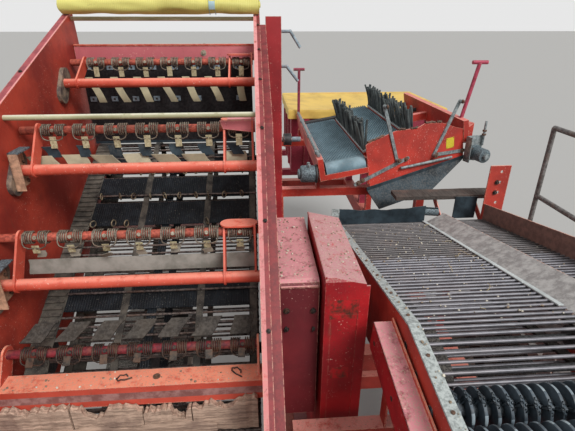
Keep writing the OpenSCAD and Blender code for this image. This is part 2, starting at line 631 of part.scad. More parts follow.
// Flap length, sideways lean and width of each row, far to near; the third row carries one long blade
FLAPS = [[190, 60, 52], [150, 40, flap_w], [64, 0, 34], [115, 55, flap_w]];
module stripper_flaps() color("darkkhaki") for (i = [0:3])
  translate([group_x0, ROWS[i][0], ROWS[i][1]]) rotate([90 - ROWS[i][2], 0, 0])
    linear_extrude(flap_t, center = true) {
      f = FLAPS[i];
      for (g = [0:stripper_groups - 1]) translate([g * group_pitch, -shaft_d / 2 - 5 - seat])
        let (lean = g == stripper_groups - 1 ? min(f[1], 16) : f[1])
          polygon([[-f[2] / 2, 0], [f[2] / 2, 0], [f[2] / 2 + lean, -f[0]], [-f[2] / 2 + lean, -f[0]]]);
      if (i == 2) translate([-58, -shaft_d / 2 - 130]) square([(stripper_groups - 1) * group_pitch + 116, 64]);
    }

// Middle
wall_rail_x = el_left + 70;
module side_column() color("crimson") {
  x1 = wall_rail_x + 90;
  box([wall_rail_x + seat, 1860, rail_top + seat], [x1, 1960, 3040]);
  // Two cranks and the drive shaft's end with its hub
  for (c = [[1910, 2960, 56, -90], [1885, 2765, 33, -75]]) {
    rod_x(x1 - 10, x1 + c[2], c[0], c[1], 9);
    at_pins([x1 + c[2], c[0], c[1]], [x1 + c[2] + 60, c[0], c[1] + c[3]]) cylinder(h = 110, r = 9, $fn = 32);
    translate([x1 + c[2], c[0], c[1]]) sphere(r = 11, $fn = 32);
  }
  rod_x(x1 - 10, x1 + 125, 1900, 2311, 16);
  rod_x(x1 + 12, x1 + 64, 1900, 2311, 38);
}
hood_x1 = -245;
module chute_hood() color("palevioletred")
  along_x(wall_rail_x + seat, hood_x1) polygon([[460, 1500], [460, 2135], [467, 2150], [482, 2158], [1008, 2160],
    [1023, 2152], [1030, 2137], [1030, 1500]]);
module chute_box() color("firebrick") {
  box([hood_x1 - 60, 500, rail_top + seat], [hood_x1 + 12, 900, rail_top + 20]);
  difference() {
    along_x(hood_x1 + 11, -89)
      polygon([[400, rail_top + seat], [400, 2190], [408, 2204], [424, 2210], [950, 2210], [950, rail_top + seat]]);
    // Its top falls towards the table, and a door in its front is set in
    translate([hood_x1 + 11, 390, 2212]) rotate([0, 13, 0]) cube([200, 600, 60]);
    box([hood_x1 + 35, 399, 1250], [-113, 403, 2050]);
  }
  box([-89 - seat, 400, 1500], [-75, 406, 2170]);
}

// Picking table
table_fall = atan(0.2077);
function table_top(y) = y > 215 ? 2106 - (y - 215) * 0.2077 : 2106 + (y - 215) * 0.13;
module table_side(x0, x1, y0, y1, low, high) along_x(x0, x1)
  difference() {
    polygon([[y0, table_top(y0) + high], [max(y0, 215), table_top(max(y0, 215)) + high],
      [y1, table_top(y1) + high], [y1, table_top(y1) + low], [max(y0, 215), table_top(max(y0, 215)) + low], [y0, table_top(y0) + low]]);
    for (p = concat(table_pulleys, trash_pulleys)) translate([p[0], p[1]]) circle(r = 12 + seat, $fn = 32);
    for (k = [0:2]) translate([roller_y - k * roller_pitch, roller_z]) circle(r = journal_d / 2 + seat, $fn = 32);
  }
module table_frame() color("orangered") {
  table_side(table_left - 40, table_left - 40 + side_t, -330, 1600, -280, 40);
  table_side(table_right + 6, table_right + 6 + side_t, -330, 1600, -200, 5);
  table_side(trash_left - 12, trash_left - 12 + side_t, 270, 1620, -200, 60);
  table_side(trash_right + 6, trash_right + 6 + side_t, 270, 1620, -280, 120);
  // Slanted partition between the two webs
  translate([table_right + 12, 280, table_top(280) + 4]) rotate([-table_fall, 0, 0])
    rotate([0, -atan2(56, trash_left - table_right - 24), 0]) cube([136, 1330, 4]);
  // Drilled plate at the far end, and the brackets of the plank
  difference() {
    box([trash_right + 6, 1620 - seat, 1740], [trash_right + 140, 1628, 2190]);
    for (z = [1800:70:2150]) rod_y(1600, 1650, trash_right + 85, z, 9);
  }
  for (x = [trash_left - 12, trash_right + 6])
    along_x(x, x + side_t) bar2([1602, 1800], [1765, 1912], 44);
  for (y = [300, 1440]) {
    box([rail_mid_x - 40, y, 1500], [trash_right + 12, y + 60, 1580]);
    box([rail_mid_x - 40, y, rail_top + seat], [rail_mid_x + 20, y + 60, 1500]);
    box([rail_left_x - 30, y, rail_top + seat], [rail_left_x + 30, y + 60, 1500]);
    for (x = [table_left - 40, table_right + 6, trash_right + 6])
      box([x, y, 1580], [x + side_t, y + 60, table_top(y) - 190]);
  }
}
module table_rods() color("slategray") {
  loop_rods(table_pulleys, belt_t + seat + rod_d / 2, table_pitch, table_left + 2, table_right - 2, rod_d);
  loop_rods(trash_pulleys, belt_t + seat + rod_d / 2, table_pitch, trash_left + 2, trash_right - 2, rod_d);
}
module table_belts() color("black") {
  for (x = [table_left + 12, table_right - 12 - belt_w]) loop_band(table_pulleys, 0, belt_t, x, x + belt_w);
  for (x = [trash_left + 8, trash_right - 8 - belt_w]) loop_band(trash_pulleys, 0, belt_t, x, x + belt_w);
}
lobes = 4;
module disc_roller(k) color("black") translate([0, roller_y - k * roller_pitch, roller_z]) {
  rod_x(table_left - 44, table_right + 16, 0, 0, journal_d / 2);
  rod_x(table_left + 2, table_right - 2, 0, 0, disc_d / 4);
  count = floor((table_w - 30) / disc_pitch);
  for (d = [0:count]) translate([table_left + 8 + d * disc_pitch, 0, 0]) rotate([90 + 45 * (d % 2), 0, 90])
    linear_extrude(14) {
      circle(r = disc_d / 3, $fn = 48);
      for (a = [0:lobes - 1]) rotate(a * 360 / lobes) translate([disc_d / 2 - 18, 0]) circle(r = 18, $fn = 32);
    }
}

// Separator
module in_separator() translate(sep_corner) rotate([0, -sep_rise, 0]) children();
board_turn = 18.3;
board_l = 836;
module on_board() in_separator() translate([296, 0, -245]) rotate([0, 0, board_turn]) children();
module separator_frame() color("firebrick") {
  in_separator() {
    box([-46, 0, -120], [-6, 1640, 40]);
    box([1090, 255, -120], [1130, 1640, 40]);
    for (y = [500, 1000]) box([-6, y, -100], [1090, y + 60, -38]);
    for (c = COMBS) box([c[0] - 8, c[1], -40], [c[0] + 22, c[1] + c[2], -seat]);
    box([-6, 0, -120], [300, 4, -80]);
    // Seats of the belts' front shafts
    box([292, 30, -90], [300, 130, -20]);
    box([318, 200, -85], [378, 230, -45]);
    box([318, 200, -60], [326, 230, -20]);
    box([678 - seat, 190, -90], [686, 300, -20]);
  }
  // Front board, skewed in plan, with its worn top edge
  on_board() along_y(0, 6) polygon([[0, 0], [board_l, 0], [board_l, 228], [board_l - 56, 250], [board_l - 196, 322],
    [board_l - 340, 352], [board_l - 400, 336], [246, 360], [20, 332], [0, 320]]);
  // Two posts with T tops
  translate([-30, 3560, 2110]) cylinder(h = 480, r = 14, $fn = 32);
  rod_x(-85, 25, 3560, 2590, 14);
  at_pins([1090, 2320, 2290], [1180, 2340, 2740]) cylinder(h = 460, r = 14, $fn = 32);
  rod_x(1125, 1240, 2340, 2745, 14);
  for (y = [2060, 3460]) {
    box([rail_mid_x - 30, y, rail_top + seat], [rail_mid_x + 30, y + 60, 1900]);
    box([rail_mid_x + 30, y, 1840], [rail_left_x + 30, y + 60, 1900]);
    box([rail_left_x - 30, y, rail_top + seat], [rail_left_x + 30, y + 60, 1840]);
    box([-40, y, 1900], [-10, y + 60, 2010]);
  }
}
module stud_belts() color("gray") in_separator() for (b = SEP_BELTS) {
  difference() {
    translate([0, b[1], 0]) loop_band([[0, -10 - sep_pulley_r, sep_pulley_r], [b[2], -10 - sep_pulley_r, sep_pulley_r]],
      -8, 0, b[0], b[0] + stud_belt_w);
  }
}
module finger_combs() color("black") in_separator() for (c = COMBS) {
  box([c[0] - 8, c[1], 0], [c[0] + 22, c[1] + c[2], 16]);
  for (k = [0:floor((c[2] - 40) / finger_pitch)])
    translate([c[0] + 7, c[1] + 20 + k * finger_pitch, 16]) cylinder(h = finger_l, r1 = 13, r2 = 9, $fn = 24);
}
// Link bars on the front board, from its lower left corner: [u1, w1, u2, w2]
LINKS = [[169, 549, 235, 153], [800, 439, 554, 101], [-116, 71, 329, 141], [554, 101, 836, 60]];
module comb_linkage() color("silver") on_board() {
  along_y(-10 - seat, -seat) for (l = LINKS) bar2([l[0], l[1]], [l[2], l[3]], 24);
  at_pins([251, -21, 89], [705, -21, 45]) cylinder(h = 456, r = 10, $fn = 32);
  for (p = [[270, 87], [690, 46]]) rod_y(-24, -seat, p[0], p[1], 6);
  for (p = [[235, 153], [554, 101], [800, 439], [169, 549]]) rod_y(-34, -seat, p[0], p[1], 13);
}
module hydraulic_motors() color("gray") rod_x(-89 + seat, -50, 700, 2000, 60);
module rubber_flaps() color("black") {
  // Outlet flap below the front board
  on_board() {
    translate([-30, -8 - seat, -6]) cube([866, 8, 26]);
    translate([0, -seat, -4]) rotate([67, 0, 0]) linear_extrude(8) polygon([[-30, 0], [836, 0], [470, -155], [20, -155]]);
  }
  // Curtain behind the elevator's head
  box([el_right + 20, wall_rear_y - 60 - seat - 6, 2335], [el_left - 20, wall_rear_y - 60 - seat, 2880]);
  // Seal strip along the table's left side, and the rubber below the plank
  for (p = [[-330, 215], [215, 1600]]) along_x(table_left - 44, table_left - 6)
    polygon([[p[0], table_top(p[0]) + 40 + seat], [p[1], table_top(p[1]) + 40 + seat],
      [p[1], table_top(p[1]) + 48], [p[0], table_top(p[0]) + 48]]);
  box([trash_left + 100, 1692 - seat, 1800], [trash_right, 1700 - seat, 1955]);
}

// Rear hopper and covers
hopper = [-100, 3640, 1500];
hopper_r = 1540;
hopper_rear = y_rear - 22;
hopper_top = 2180;
tarp_r = 45;
module rear_hopper() color("indianred") {
  difference() {
    box([hopper[0], hopper[1], hopper[2]], [hopper_r, hopper_rear, hopper_top]);
    box([hopper[0] + 5, hopper[1] + 5, hopper[2] + 5], [hopper_r - 5, hopper_rear - 5, hopper_top + 20]);
  }
  // Bolted ribs and rims
  for (k = [0:4]) for (y = [hopper[1] - 20, hopper_rear + seat])
    box([hopper[0] + 140 + k * 330, y, hopper[2] + 40], [hopper[0] + 190 + k * 330, y + 20 - seat, hopper_top - 60]);
  for (k = [0:2]) for (x = [hopper[0] - 20, hopper_r + seat])
    box([x, hopper[1] + 180 + k * 360, hopper[2] + 40], [x + 20 - seat, hopper[1] + 230 + k * 360, hopper_top - 60]);
  for (y = [hopper[1] - 22, hopper_rear + seat])
    box([hopper[0], y, hopper_top - 45], [hopper_r, y + 22 - seat, hopper_top - 5]);
  for (y = [hopper[1] + 80, y_rear - 300]) {
    box([rail_mid_x - 40, y, hopper[2] - 70], [rail_left_x + 40, y + 60, hopper[2]]);
    for (x = [rail_mid_x, rail_left_x]) box([x - 40, y, rail_top + seat], [x + 40, y + 60, hopper[2] - 70]);
  }
}
module hopper_sheet() color("gold") difference() {
  box([hopper[0] - 31, hopper[1] - 30, hopper_top - 100], [hopper_r + 31, y_rear - 1, hopper_top + 10]);
  box([hopper[0] - 23, hopper[1] - 23, hopper_top - 101], [hopper_r + 23, y_rear, hopper_top + seat]);
}
module tarp_roll() color("gold")
  rod_x(el_right - 30, el_left + 30, wall_rear_y - 60,
    wall_top(wall_rear_y - 60) + (tarp_r + seat) / cos(wall_up_angle), tarp_r);

// Bunker
module bunker() color("firebrick") {
  for (y = [bunker_front_y, bunker_rear_y - bunker_t]) along_y(y, y + bunker_t)
    polygon([[30, bunker_floor_z], [-20, 1500], [-20, bunker_top], [1440, bunker_top], [hinge_x - 45, bunker_floor_z]]);
  box([-25, bunker_front_y, 1500], [-20, bunker_rear_y, bunker_top]);
  // Lugs and pins of the discharge
  for (e = [[bunker_front_y, 1], [bunker_rear_y, -1]]) {
    along_y(min(e[0], e[0] + e[1] * bunker_t), max(e[0], e[0] + e[1] * bunker_t))
      bar2([hinge_x - 90, hinge_z + 80], [hinge_x, hinge_z], 60);
    rod_y(min(e[0], e[0] + e[1] * (bunker_t + 17)), max(e[0], e[0] + e[1] * (bunker_t + 17)), hinge_x, hinge_z, 15 - seat);
  }
  // Rim tubes and pressed ribs
  for (y = [bunker_front_y - 35, bunker_rear_y]) {
    box([-25, y, bunker_top - 45], [1440, y + 35, bunker_top - 5]);
    for (k = [0:3]) box([150 + k * 270, y + 5, bunker_floor_z + 60], [200 + k * 270, y + 30, bunker_top - 45]);
  }
  box([-60, bunker_front_y, bunker_top - 45], [-25, bunker_rear_y, bunker_top - 5]);
  for (k = [0:4]) box([-50, bunker_front_y + 200 + k * 460, 1520], [-25, bunker_front_y + 250 + k * 460, bunker_top - 45]);
  along_y(bunker_front_y, bunker_rear_y) polygon([[25, bunker_floor_z], [-25, 1500], [-20, 1500], [30, bunker_floor_z]]);
  for (y = [bunker_front_y, (bunker_front_y + bunker_rear_y) / 2, bunker_rear_y - 60])
    box([25, y, rail_top + seat], [hinge_x - 45, y + 60, bunker_floor_z]);
}
module bunker_floor() color("gray")
  for (k = [0:11]) box([50 + k * 78, bunker_front_y + 20, bunker_floor_z + seat], [50 + k * 78 + slat_w, bunker_rear_y - 20, bunker_floor_z + 12]);
function discharge_dir() = (discharge_tip - [hinge_x, hinge_z]) / norm(discharge_tip - [hinge_x, hinge_z]);
module discharge_frame() color("firebrick") {
  d = discharge_dir();
  n = [-d[1], d[0]];
  h = [hinge_x, hinge_z];
  t = discharge_tip;
  for (y = [bunker_front_y + bunker_t + 8, bunker_rear_y - bunker_t - 14]) along_y(y, y + 6) difference() {
    union() {
      polygon([h - n * 40, t - n * 40, t + n * 240, h + n * 120 + d * 200, h + n * 40]);
      translate(h) circle(r = 40, $fn = 48);
    }
    translate(h) circle(r = 15, $fn = 48);
  }
  for (s = [430, 800]) along_y(bunker_front_y + bunker_t + 14, bunker_rear_y - bunker_t - 14)
    translate(h + d * s) rotate(atan2(d[1], d[0])) translate([0, -40]) square([60, 30]);
  discharge_pin_lugs();
}
module discharge_pin_lugs() {
  h = [hinge_x, hinge_z];
  d = discharge_dir();
  n = [-d[1], d[0]];
  for (y = [dis_b[1] - 33, dis_b[1] + 25]) along_y(y, y + 8)
    bar2(h + d * 460 - n * 46, [dis_b[0], dis_b[2]], 56);
  for (y = [dis_b[1] - 40, dis_b[1] + 33]) rod_y(y, y + 7, dis_b[0], dis_b[2], pin_r + 5);
}
module discharge_slats() color("gray") {
  d = discharge_dir();
  h = [hinge_x, hinge_z];
  for (k = [0:11]) along_y(bunker_front_y + bunker_t + 14 + seat, bunker_rear_y - bunker_t - 14 - seat)
    translate(h + d * (60 + k * 82)) rotate(atan2(d[1], d[0])) translate([0, -10 + seat]) square([slat_w, 12]);
}
lift_y = -1580;
dis_a = [900, lift_y, 780];
dis_b = [1350, lift_y, 1480];
module discharge_barrel() color("dimgray") barrel(dis_a, dis_b, AXIS_Y, 24, 570);
module discharge_rod() color("silver") piston_rod(dis_a, dis_b, AXIS_Y, 24, 230);

// Platform, its guard rails and ladder
module platform() color("gray") {
  x0 = trash_right + 50;
  y0 = -330;
  y1 = 1950;
  box([x0, y0, deck_z - 5], [x_left, y1, deck_z]);
  for (x = [x0, x_left - 40]) box([x, y0, deck_z - 65], [x + 40, y1, deck_z - 5]);
  for (y = [y0 + 200, axle_y - wheel_r - 120]) {
    box([rail_left_x + rail_w / 2 + seat, y, rail_top - 60], [x0 + 40, y + 50, rail_top]);
    box([x0, y, rail_top], [x0 + 40, y + 50, deck_z - 65]);
  }
  gx = x_left - guard_d / 2 - 2;
  for (y = [y0 + 20, 800, y1 - 20]) translate([gx, y, deck_z]) cylinder(h = guard_h, d = guard_d, $fn = 32);
  for (z = [deck_z + guard_h / 2, deck_z + guard_h]) rod_y(800, y1 - 20, gx, z, guard_d / 2);
  // Ladder
  for (y = [60, 460]) box([x_left - 60, y, 420], [x_left - 20, y + 30, deck_z - 65]);
  for (k = [0:2]) box([x_left - 60, 90, 450 + k * 290], [x_left - 20, 460, 480 + k * 290]);
}

chassis();
axle_beam();
rim(wheel_left_x, 1);  // rim_left
rim(wheel_right_x, -1);  // rim_right
tyre(wheel_left_x);  // tyre_left
tyre(wheel_right_x);  // tyre_right
drawbar();
jack_leg();
gearbox();
steer_barrel();
steer_rod();
intake_frame();
share();
intake_rods();
intake_belts();
diabolo_roller();
coulter(coulter_xs[0]);  // coulter_left
coulter(coulter_xs[1]);  // coulter_right
lift_barrel();
lift_rod();
elevator_wall_left();
elevator_wall_right();
elevator_beams();
elevator_boards();
tie_rods();
elevator_rods();
elevator_belts();
web_rollers();
stripper_tubes();
stripper_shafts();
stripper_springs();
stripper_flaps();
side_column();
chute_hood();
chute_box();
table_frame();
table_rods();
table_belts();
disc_roller(0);  // disc_roller_1
disc_roller(1);  // disc_roller_2
disc_roller(2);  // disc_roller_3
separator_frame();
stud_belts();
finger_combs();
comb_linkage();
hydraulic_motors();
rubber_flaps();
rear_hopper();
hopper_sheet();
tarp_roll();
bunker();
bunker_floor();
discharge_frame();
discharge_slats();
discharge_barrel();
discharge_rod();
platform();
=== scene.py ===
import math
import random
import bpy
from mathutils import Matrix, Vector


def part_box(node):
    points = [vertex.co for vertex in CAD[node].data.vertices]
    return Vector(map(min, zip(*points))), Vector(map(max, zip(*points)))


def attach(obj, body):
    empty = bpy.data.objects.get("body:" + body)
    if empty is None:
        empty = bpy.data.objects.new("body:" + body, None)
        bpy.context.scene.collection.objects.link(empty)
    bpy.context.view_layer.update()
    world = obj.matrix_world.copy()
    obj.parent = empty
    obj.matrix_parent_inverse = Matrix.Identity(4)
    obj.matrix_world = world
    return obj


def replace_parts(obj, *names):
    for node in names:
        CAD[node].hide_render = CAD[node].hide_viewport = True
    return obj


bl_info = {
    "name": "Potato Harvester Looks",
    "version": (1, 0, 0),
    "blender": (4, 5, 0),
    "location": "3D View > Sidebar > Harvester",
    "description": "Dresses a trailed potato harvester: paint, rubber, steel, timber, sheets, small parts",
    "category": "Object",
}

import bmesh
import bpy
from mathutils import Euler, Matrix

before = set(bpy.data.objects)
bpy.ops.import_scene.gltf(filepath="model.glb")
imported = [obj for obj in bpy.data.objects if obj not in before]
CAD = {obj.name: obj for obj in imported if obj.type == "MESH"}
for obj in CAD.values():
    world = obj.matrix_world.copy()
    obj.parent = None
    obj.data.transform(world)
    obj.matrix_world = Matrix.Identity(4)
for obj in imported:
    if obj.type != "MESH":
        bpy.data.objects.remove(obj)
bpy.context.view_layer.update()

# Places that repeat the CAD source, in metres. Left and right are the machine's own, which faces -Y
ELEVATOR_LEFT, ELEVATOR_RIGHT = -0.46, -1.46
WALL_KINK = (0.92, 2.70)
LOW_SLOPE, UPPER_SLOPE = math.tan(math.radians(45.5)), math.tan(math.radians(21.5))
SHAFT_R = 0.021
# Middles of the strippers' plain tubes that end in blocks, as y and z
TUBES = ((0.600, 2.100), (0.920, 2.450))
# The elevator's web: a place on its middle line as y and z, its tilt, and its rods' height over that line
WEB_START, WEB_TILT, WEB_LIFT = (0.700, 1.650), math.radians(25.75), 0.1273
# Right and left edges of the web's cleated edge belt and of its three woven straps
WEB_STRAPS = ((-1.445, -1.346), (-1.097, -1.063), (-0.757, -0.723), (-0.512, -0.478))
# The picking web: the y of its bend, its rods' top there, its falls behind the bend and before it
TABLE_BEND, TABLE_TOP, TABLE_FALL, DISC_FALL = 0.215, 2.1262, 0.2077, 0.13
# Disc rollers: first one's y and z, their pitch; first disc's x, discs' pitch and their number
DISC_ROLLERS, DISCS = (-0.008, 2.032, 0.125), (0.055, 0.036, 15)
# Stripper rows, near to far: shaft's y and z, and how far its flaps hang forward in degrees
ROWS = {
    "near": (0.49, 1.862, -125.0),
    "low": (0.70, 2.25, 5.0),
    "middle": (1.03, 2.59, 5.0),
    "far": (1.68, 2.81, 5.0),
}
GROUP_X0, GROUP_PITCH, GROUPS = ELEVATOR_RIGHT + 0.145, 0.130, 7
# Each row's flaps: length, where they start, sideways lean, width and finish
FLAPS = {
    # The near row's flap finish is darkened as painted shade
    "near": (0.094, 0.018, 0.046, 0.078, "near_flap_painted_shade"),
    "low": (0.064, 0.040, 0.0, 0.034, "dull_flap"),
    "middle": (0.150, 0.085, 0.040, 0.098, "flap"),
    "far": (0.190, 0.055, 0.060, 0.040, "far_flap"),
}
# How far each row's springs and bolts are turned forward, in degrees
SPRING_TURNS = {"near": 38, "low": 22, "middle": 10, "far": 8}
# The separator's own frame, its belts (left edge, front end, length), combs, and its front board's frame
SEPARATOR = Matrix.Translation((0.0, 1.950, 2.118)) @ Matrix.Rotation(math.radians(-10), 4, "Y")
SEPARATOR_BELTS, BELT_WIDTH = ((0.006, 0.060, 1.230), (0.390, 0.215, 1.390)), 0.270
COMBS = ((0.300, 0.090, 1.120), (0.686, 0.240, 1.300))
BOARD = SEPARATOR @ Matrix.Translation((0.296, 0, -0.245)) @ Matrix.Rotation(math.radians(18.3), 4, "Z")


def wall_top(y):
    """Height of the elevator walls' top edge."""
    slope = LOW_SLOPE if y < WALL_KINK[0] else UPPER_SLOPE
    return WALL_KINK[1] + (y - WALL_KINK[0]) * slope


def web_top(y):
    """Height of the elevator web's rods."""
    return WEB_START[1] + (y - WEB_START[0]) * math.tan(WEB_TILT) + WEB_LIFT / math.cos(WEB_TILT)


def table_top(y):
    """Height of the picking web's rods, and of the disc rollers' plates before it."""
    return TABLE_TOP - (y - TABLE_BEND) * (TABLE_FALL if y > TABLE_BEND else -DISC_FALL)


def linear(hexa):
    """An sRGB hex colour as linear RGBA."""
    rgb = [int(hexa[i:i + 2], 16) / 255 for i in (1, 3, 5)]
    return tuple(c / 12.92 if c <= 0.04045 else ((c + 0.055) / 1.055) ** 2.4 for c in rgb) + (1.0,)


def add(tree, kind, output, sockets=None, settings=None):
    """Add one node with its settings and links, and return one of its outputs."""
    node = tree.nodes.new("ShaderNode" + kind)
    for key, value in (settings or {}).items():
        setattr(node, key, value)
    for key, value in (sockets or {}).items():
        if isinstance(value, bpy.types.NodeSocket):
            tree.links.new(value, node.inputs[key])
        else:
            node.inputs[key].default_value = value
    return node.outputs[output]


def begin(name, roughness, metallic=0.0, specular=0.5):
    """A material with its tree, its shader and the object's own coordinates."""
    mat = bpy.data.materials.new(name)
    mat.use_nodes = True
    tree = mat.node_tree
    shader = tree.nodes["Principled BSDF"]
    shader.inputs["Metallic"].default_value = metallic
    shader.inputs["Roughness"].default_value = roughness
    shader.inputs["Specular IOR Level"].default_value = specular
    return mat, tree, shader, add(tree, "TexCoord", "Object")


def ended(tree, shader, colour, relief, depth, strength, gloss=None):
    """Give the shader its colour, its relief and, where it varies with the relief, its roughness."""
    tree.links.new(colour, shader.inputs["Base Color"])
    normal = add(tree, "Bump", "Normal", {"Strength": strength, "Distance": depth, "Height": relief})
    tree.links.new(normal, shader.inputs["Normal"])
    if gloss:
        tone = add(tree, "MapRange", "Result", {"Value": relief, "To Min": gloss[0], "To Max": gloss[1]})
        tree.links.new(tone, shader.inputs["Roughness"])


def blotches(tree, place, size_mm, *bands, detail=3.0, rough=0.6):
    """Noise about size_mm across, then a share for each band: 0 below its low end, 1 above its high one."""
    grain = {"Vector": place, "Scale": 1000.0 / size_mm, "Detail": detail, "Roughness": rough}
    drawn = add(tree, "TexNoise", "Fac", grain)
    shares = [drawn]
    for low, high in bands:
        limits = {"Value": drawn, "From Min": low, "From Max": high}
        shares.append(add(tree, "MapRange", "Result", limits, {"interpolation_type": "SMOOTHSTEP"}))
    return shares


def coat(tree, under, over, *shares):
    """Lay one colour over another as far as all shares together let it; a colour is a hex or an output."""
    share = shares[0]
    for other in shares[1:]:
        share = add(tree, "Math", 0, {0: share, 1: other}, {"operation": "MULTIPLY"})
    under, over = (linear(colour) if isinstance(colour, str) else colour for colour in (under, over))
    return add(tree, "Mix", "Result", {"Factor": share, "A": under, "B": over}, {"data_type": "RGBA"})


def upward(tree, low=0.35, high=0.9):
    """How far a face looks up."""
    up = add(tree, "SeparateXYZ", "Z", {0: add(tree, "NewGeometry", "Normal")})
    limits = {"Value": up, "From Min": low, "From Max": high}
    return add(tree, "MapRange", "Result", limits, {"interpolation_type": "SMOOTHSTEP"})


def worn_edge(tree, radius):
    """1 along sharp edges: the rounded normal differs there from the true one."""
    soft = add(tree, "Bevel", "Normal", {"Radius": radius}, {"samples": 4})
    hard = add(tree, "NewGeometry", "True Normal")
    likeness = add(tree, "VectorMath", "Value", {0: soft, 1: hard}, {"operation": "DOT_PRODUCT"})
    return add(tree, "MapRange", "Result", {"Value": likeness, "From Min": 0.995, "From Max": 0.93})


def within(tree, place, low, high, ragged=0.0):
    """Shares that are all 1 only between a box's two corners, in metres; its borders wander by ragged."""
    if ragged:
        drawn = blotches(tree, place, 45, detail=4.0, rough=0.7)[0]
        astray = add(tree, "Math", 0, {0: drawn, 1: 2 * ragged}, {"operation": "MULTIPLY"})
        place = add(tree, "VectorMath", "Vector", {0: place, 1: astray}, {"operation": "ADD"})
        place = add(tree, "VectorMath", "Vector", {0: place, 1: (ragged,) * 3}, {"operation": "SUBTRACT"})
    shares = []
    for axis, start, end in zip("XYZ", low, high):
        for operation, limit in (("GREATER_THAN", start), ("LESS_THAN", end)):
            if limit is not None:
                here = add(tree, "SeparateXYZ", axis, {0: place})
                shares.append(add(tree, "Math", 0, {0: here, 1: limit}, {"operation": operation}))
    return shares


def recoloured(tree, place, colour, others, patchy, ragged=0.0):
    """Lay other colours in patches: each of the others is a box's two corners and its two colours."""
    for low, high, pale, deep in others:
        patch = coat(tree, deep, pale, patchy)
        colour = coat(tree, colour, patch, *within(tree, place, low, high, ragged))
    return colour


def machine_paint(name, fresh, chalked_and_lit_top, dark, rust=0.5, dust=0.5, edge=0.8, others=(), chips=0.7):
    """Sprayed enamel on welded plate: bright sides, paler on top as chalking and painted light, worn to
    primer on edges.
    """
    mat, tree, shader, place = begin(name, 0.5)
    # Broad fading, blotches about 300 mm and 40 mm across
    fading = blotches(tree, place, 300, (0.35, 0.68), detail=5.0)[1]
    spots, chalk_and_light_share, patchy = blotches(tree, place, 40, (0.28, 0.5), (0.38, 0.62), detail=6.0, rough=0.7)
    colour = coat(tree, dark, fresh, fading)
    # Faces that look up take the paler top colour: chalked paint, and painted light where the sun falls on
    # them
    colour = coat(tree, colour, chalked_and_lit_top, upward(tree), chalk_and_light_share)
    # Grey field dust lies on faces that look up, in grains drawn about 6 mm coarse so that they show
    grains = blotches(tree, place, 6, (0.5, 0.66))[1]
    colour = coat(tree, colour, "#b3a08c", upward(tree, 0.1, 0.8), grains, dust)
    # Rust freckles about 12 mm across, gathered in patches
    freckles = blotches(tree, place, 12, (0.6, 0.68), detail=4.0, rough=0.75)[1]
    gathered = blotches(tree, place, 160, (0.44, 0.62), detail=2.0)[1]
    colour = coat(tree, colour, "#5a3020", freckles, gathered, rust)
    # Streaks run down the sides, about 22 mm wide
    flow = add(tree, "Mapping", "Vector", {"Vector": place, "Scale": (1.0, 1.0, 0.12)})
    streaks = blotches(tree, flow, 22, (0.58, 0.76), detail=4.0, rough=0.7)[1]
    colour = coat(tree, colour, "#6d4a38", streaks, 0.5 * rust)
    # Pale chips and scratches, drawn about 10 mm coarse so that they show, where stones hit the paint
    hits = blotches(tree, place, 10, (0.65, 0.69), detail=2.0, rough=0.8)[1]
    struck = blotches(tree, place, 260, (0.42, 0.56))[1]
    colour = coat(tree, colour, "#e6bfae", hits, struck, chips)
    colour = recoloured(tree, place, colour, others, patchy)
    if edge:
        broken = blotches(tree, place, 18, (0.42, 0.55), detail=5.0, rough=0.7)[1]
        colour = coat(tree, colour, "#d9a58d", worn_edge(tree, 0.006), broken, edge)
    ended(tree, shader, colour, spots, 0.002, 0.35, (0.42, 0.72))
    return mat


def rubber(name, fresh, dusty, dust=0.5, grain=5.0, roughness=0.72, others=()):
    """Vulcanised rubber: matt black, greyed by dry soil on what looks up and in its pores."""
    mat, tree, shader, place = begin(name, roughness, specular=0.3)
    spots, patchy, pores = blotches(tree, place, grain, (0.38, 0.62), (0.4, 0.62), detail=4.0, rough=0.7)
    patches = blotches(tree, place, 90, (0.3, 0.7), detail=4.0)[1]
    colour = coat(tree, fresh, dusty, patches)
    colour = recoloured(tree, place, colour, others, patchy)
    colour = coat(tree, colour, "#9a938a", upward(tree, 0.0, 0.8), pores, dust)
    ended(tree, shader, colour, spots, 0.0015, 0.5)
    return mat


def panelled_with_painted_light(name, panel, panel_pale, strap, strap_pale):
    """Web rubber by its place across the elevator: ribbed black panels, their blue cast a painted reflection,
    between dusty woven straps darkened as painted shade.
    """
    mat, tree, shader, place = begin(name, 0.62, specular=0.3)
    across = add(tree, "SeparateXYZ", "X", {0: place})
    strapped = 0.0
    for low, high in WEB_STRAPS:
        inside = 1.0
        for operation, limit in (("GREATER_THAN", low), ("LESS_THAN", high)):
            side = add(tree, "Math", 0, {0: across, 1: limit}, {"operation": operation})
            inside = add(tree, "Math", 0, {0: side, 1: inside}, {"operation": "MULTIPLY"})
        strapped = add(tree, "Math", 0, {0: strapped, 1: inside}, {"operation": "ADD", "use_clamp": True})
    spots, flecks = blotches(tree, place, 6, (0.62, 0.7), detail=4.0, rough=0.7)
    _, on_panel, on_strap = blotches(tree, place, 70, (0.4, 0.7), (0.35, 0.65), detail=5.0, rough=0.65)
    # Painted reflection: the panels' blue-black tones; painted shade with dust: the straps' dark grey-brown
    panels = coat(tree, panel, panel_pale, on_panel)
    straps = coat(tree, strap, strap_pale, on_strap)
    colour = coat(tree, panels, straps, strapped)
    colour = coat(tree, colour, "#b5aea0", flecks, 0.6)
    # Moulded ribs stand 11 mm apart across the panels
    waves = {"bands_direction": "X", "wave_profile": "SIN"}
    ribs = add(tree, "TexWave", "Fac", {"Vector": place, "Scale": 28.0}, waves)
    relief = add(tree, "Mix", "Result", {"Factor": strapped, "A": ribs, "B": spots}, {"data_type": "FLOAT"})
    ended(tree, shader, colour, relief, 0.0025, 0.6)
    return mat


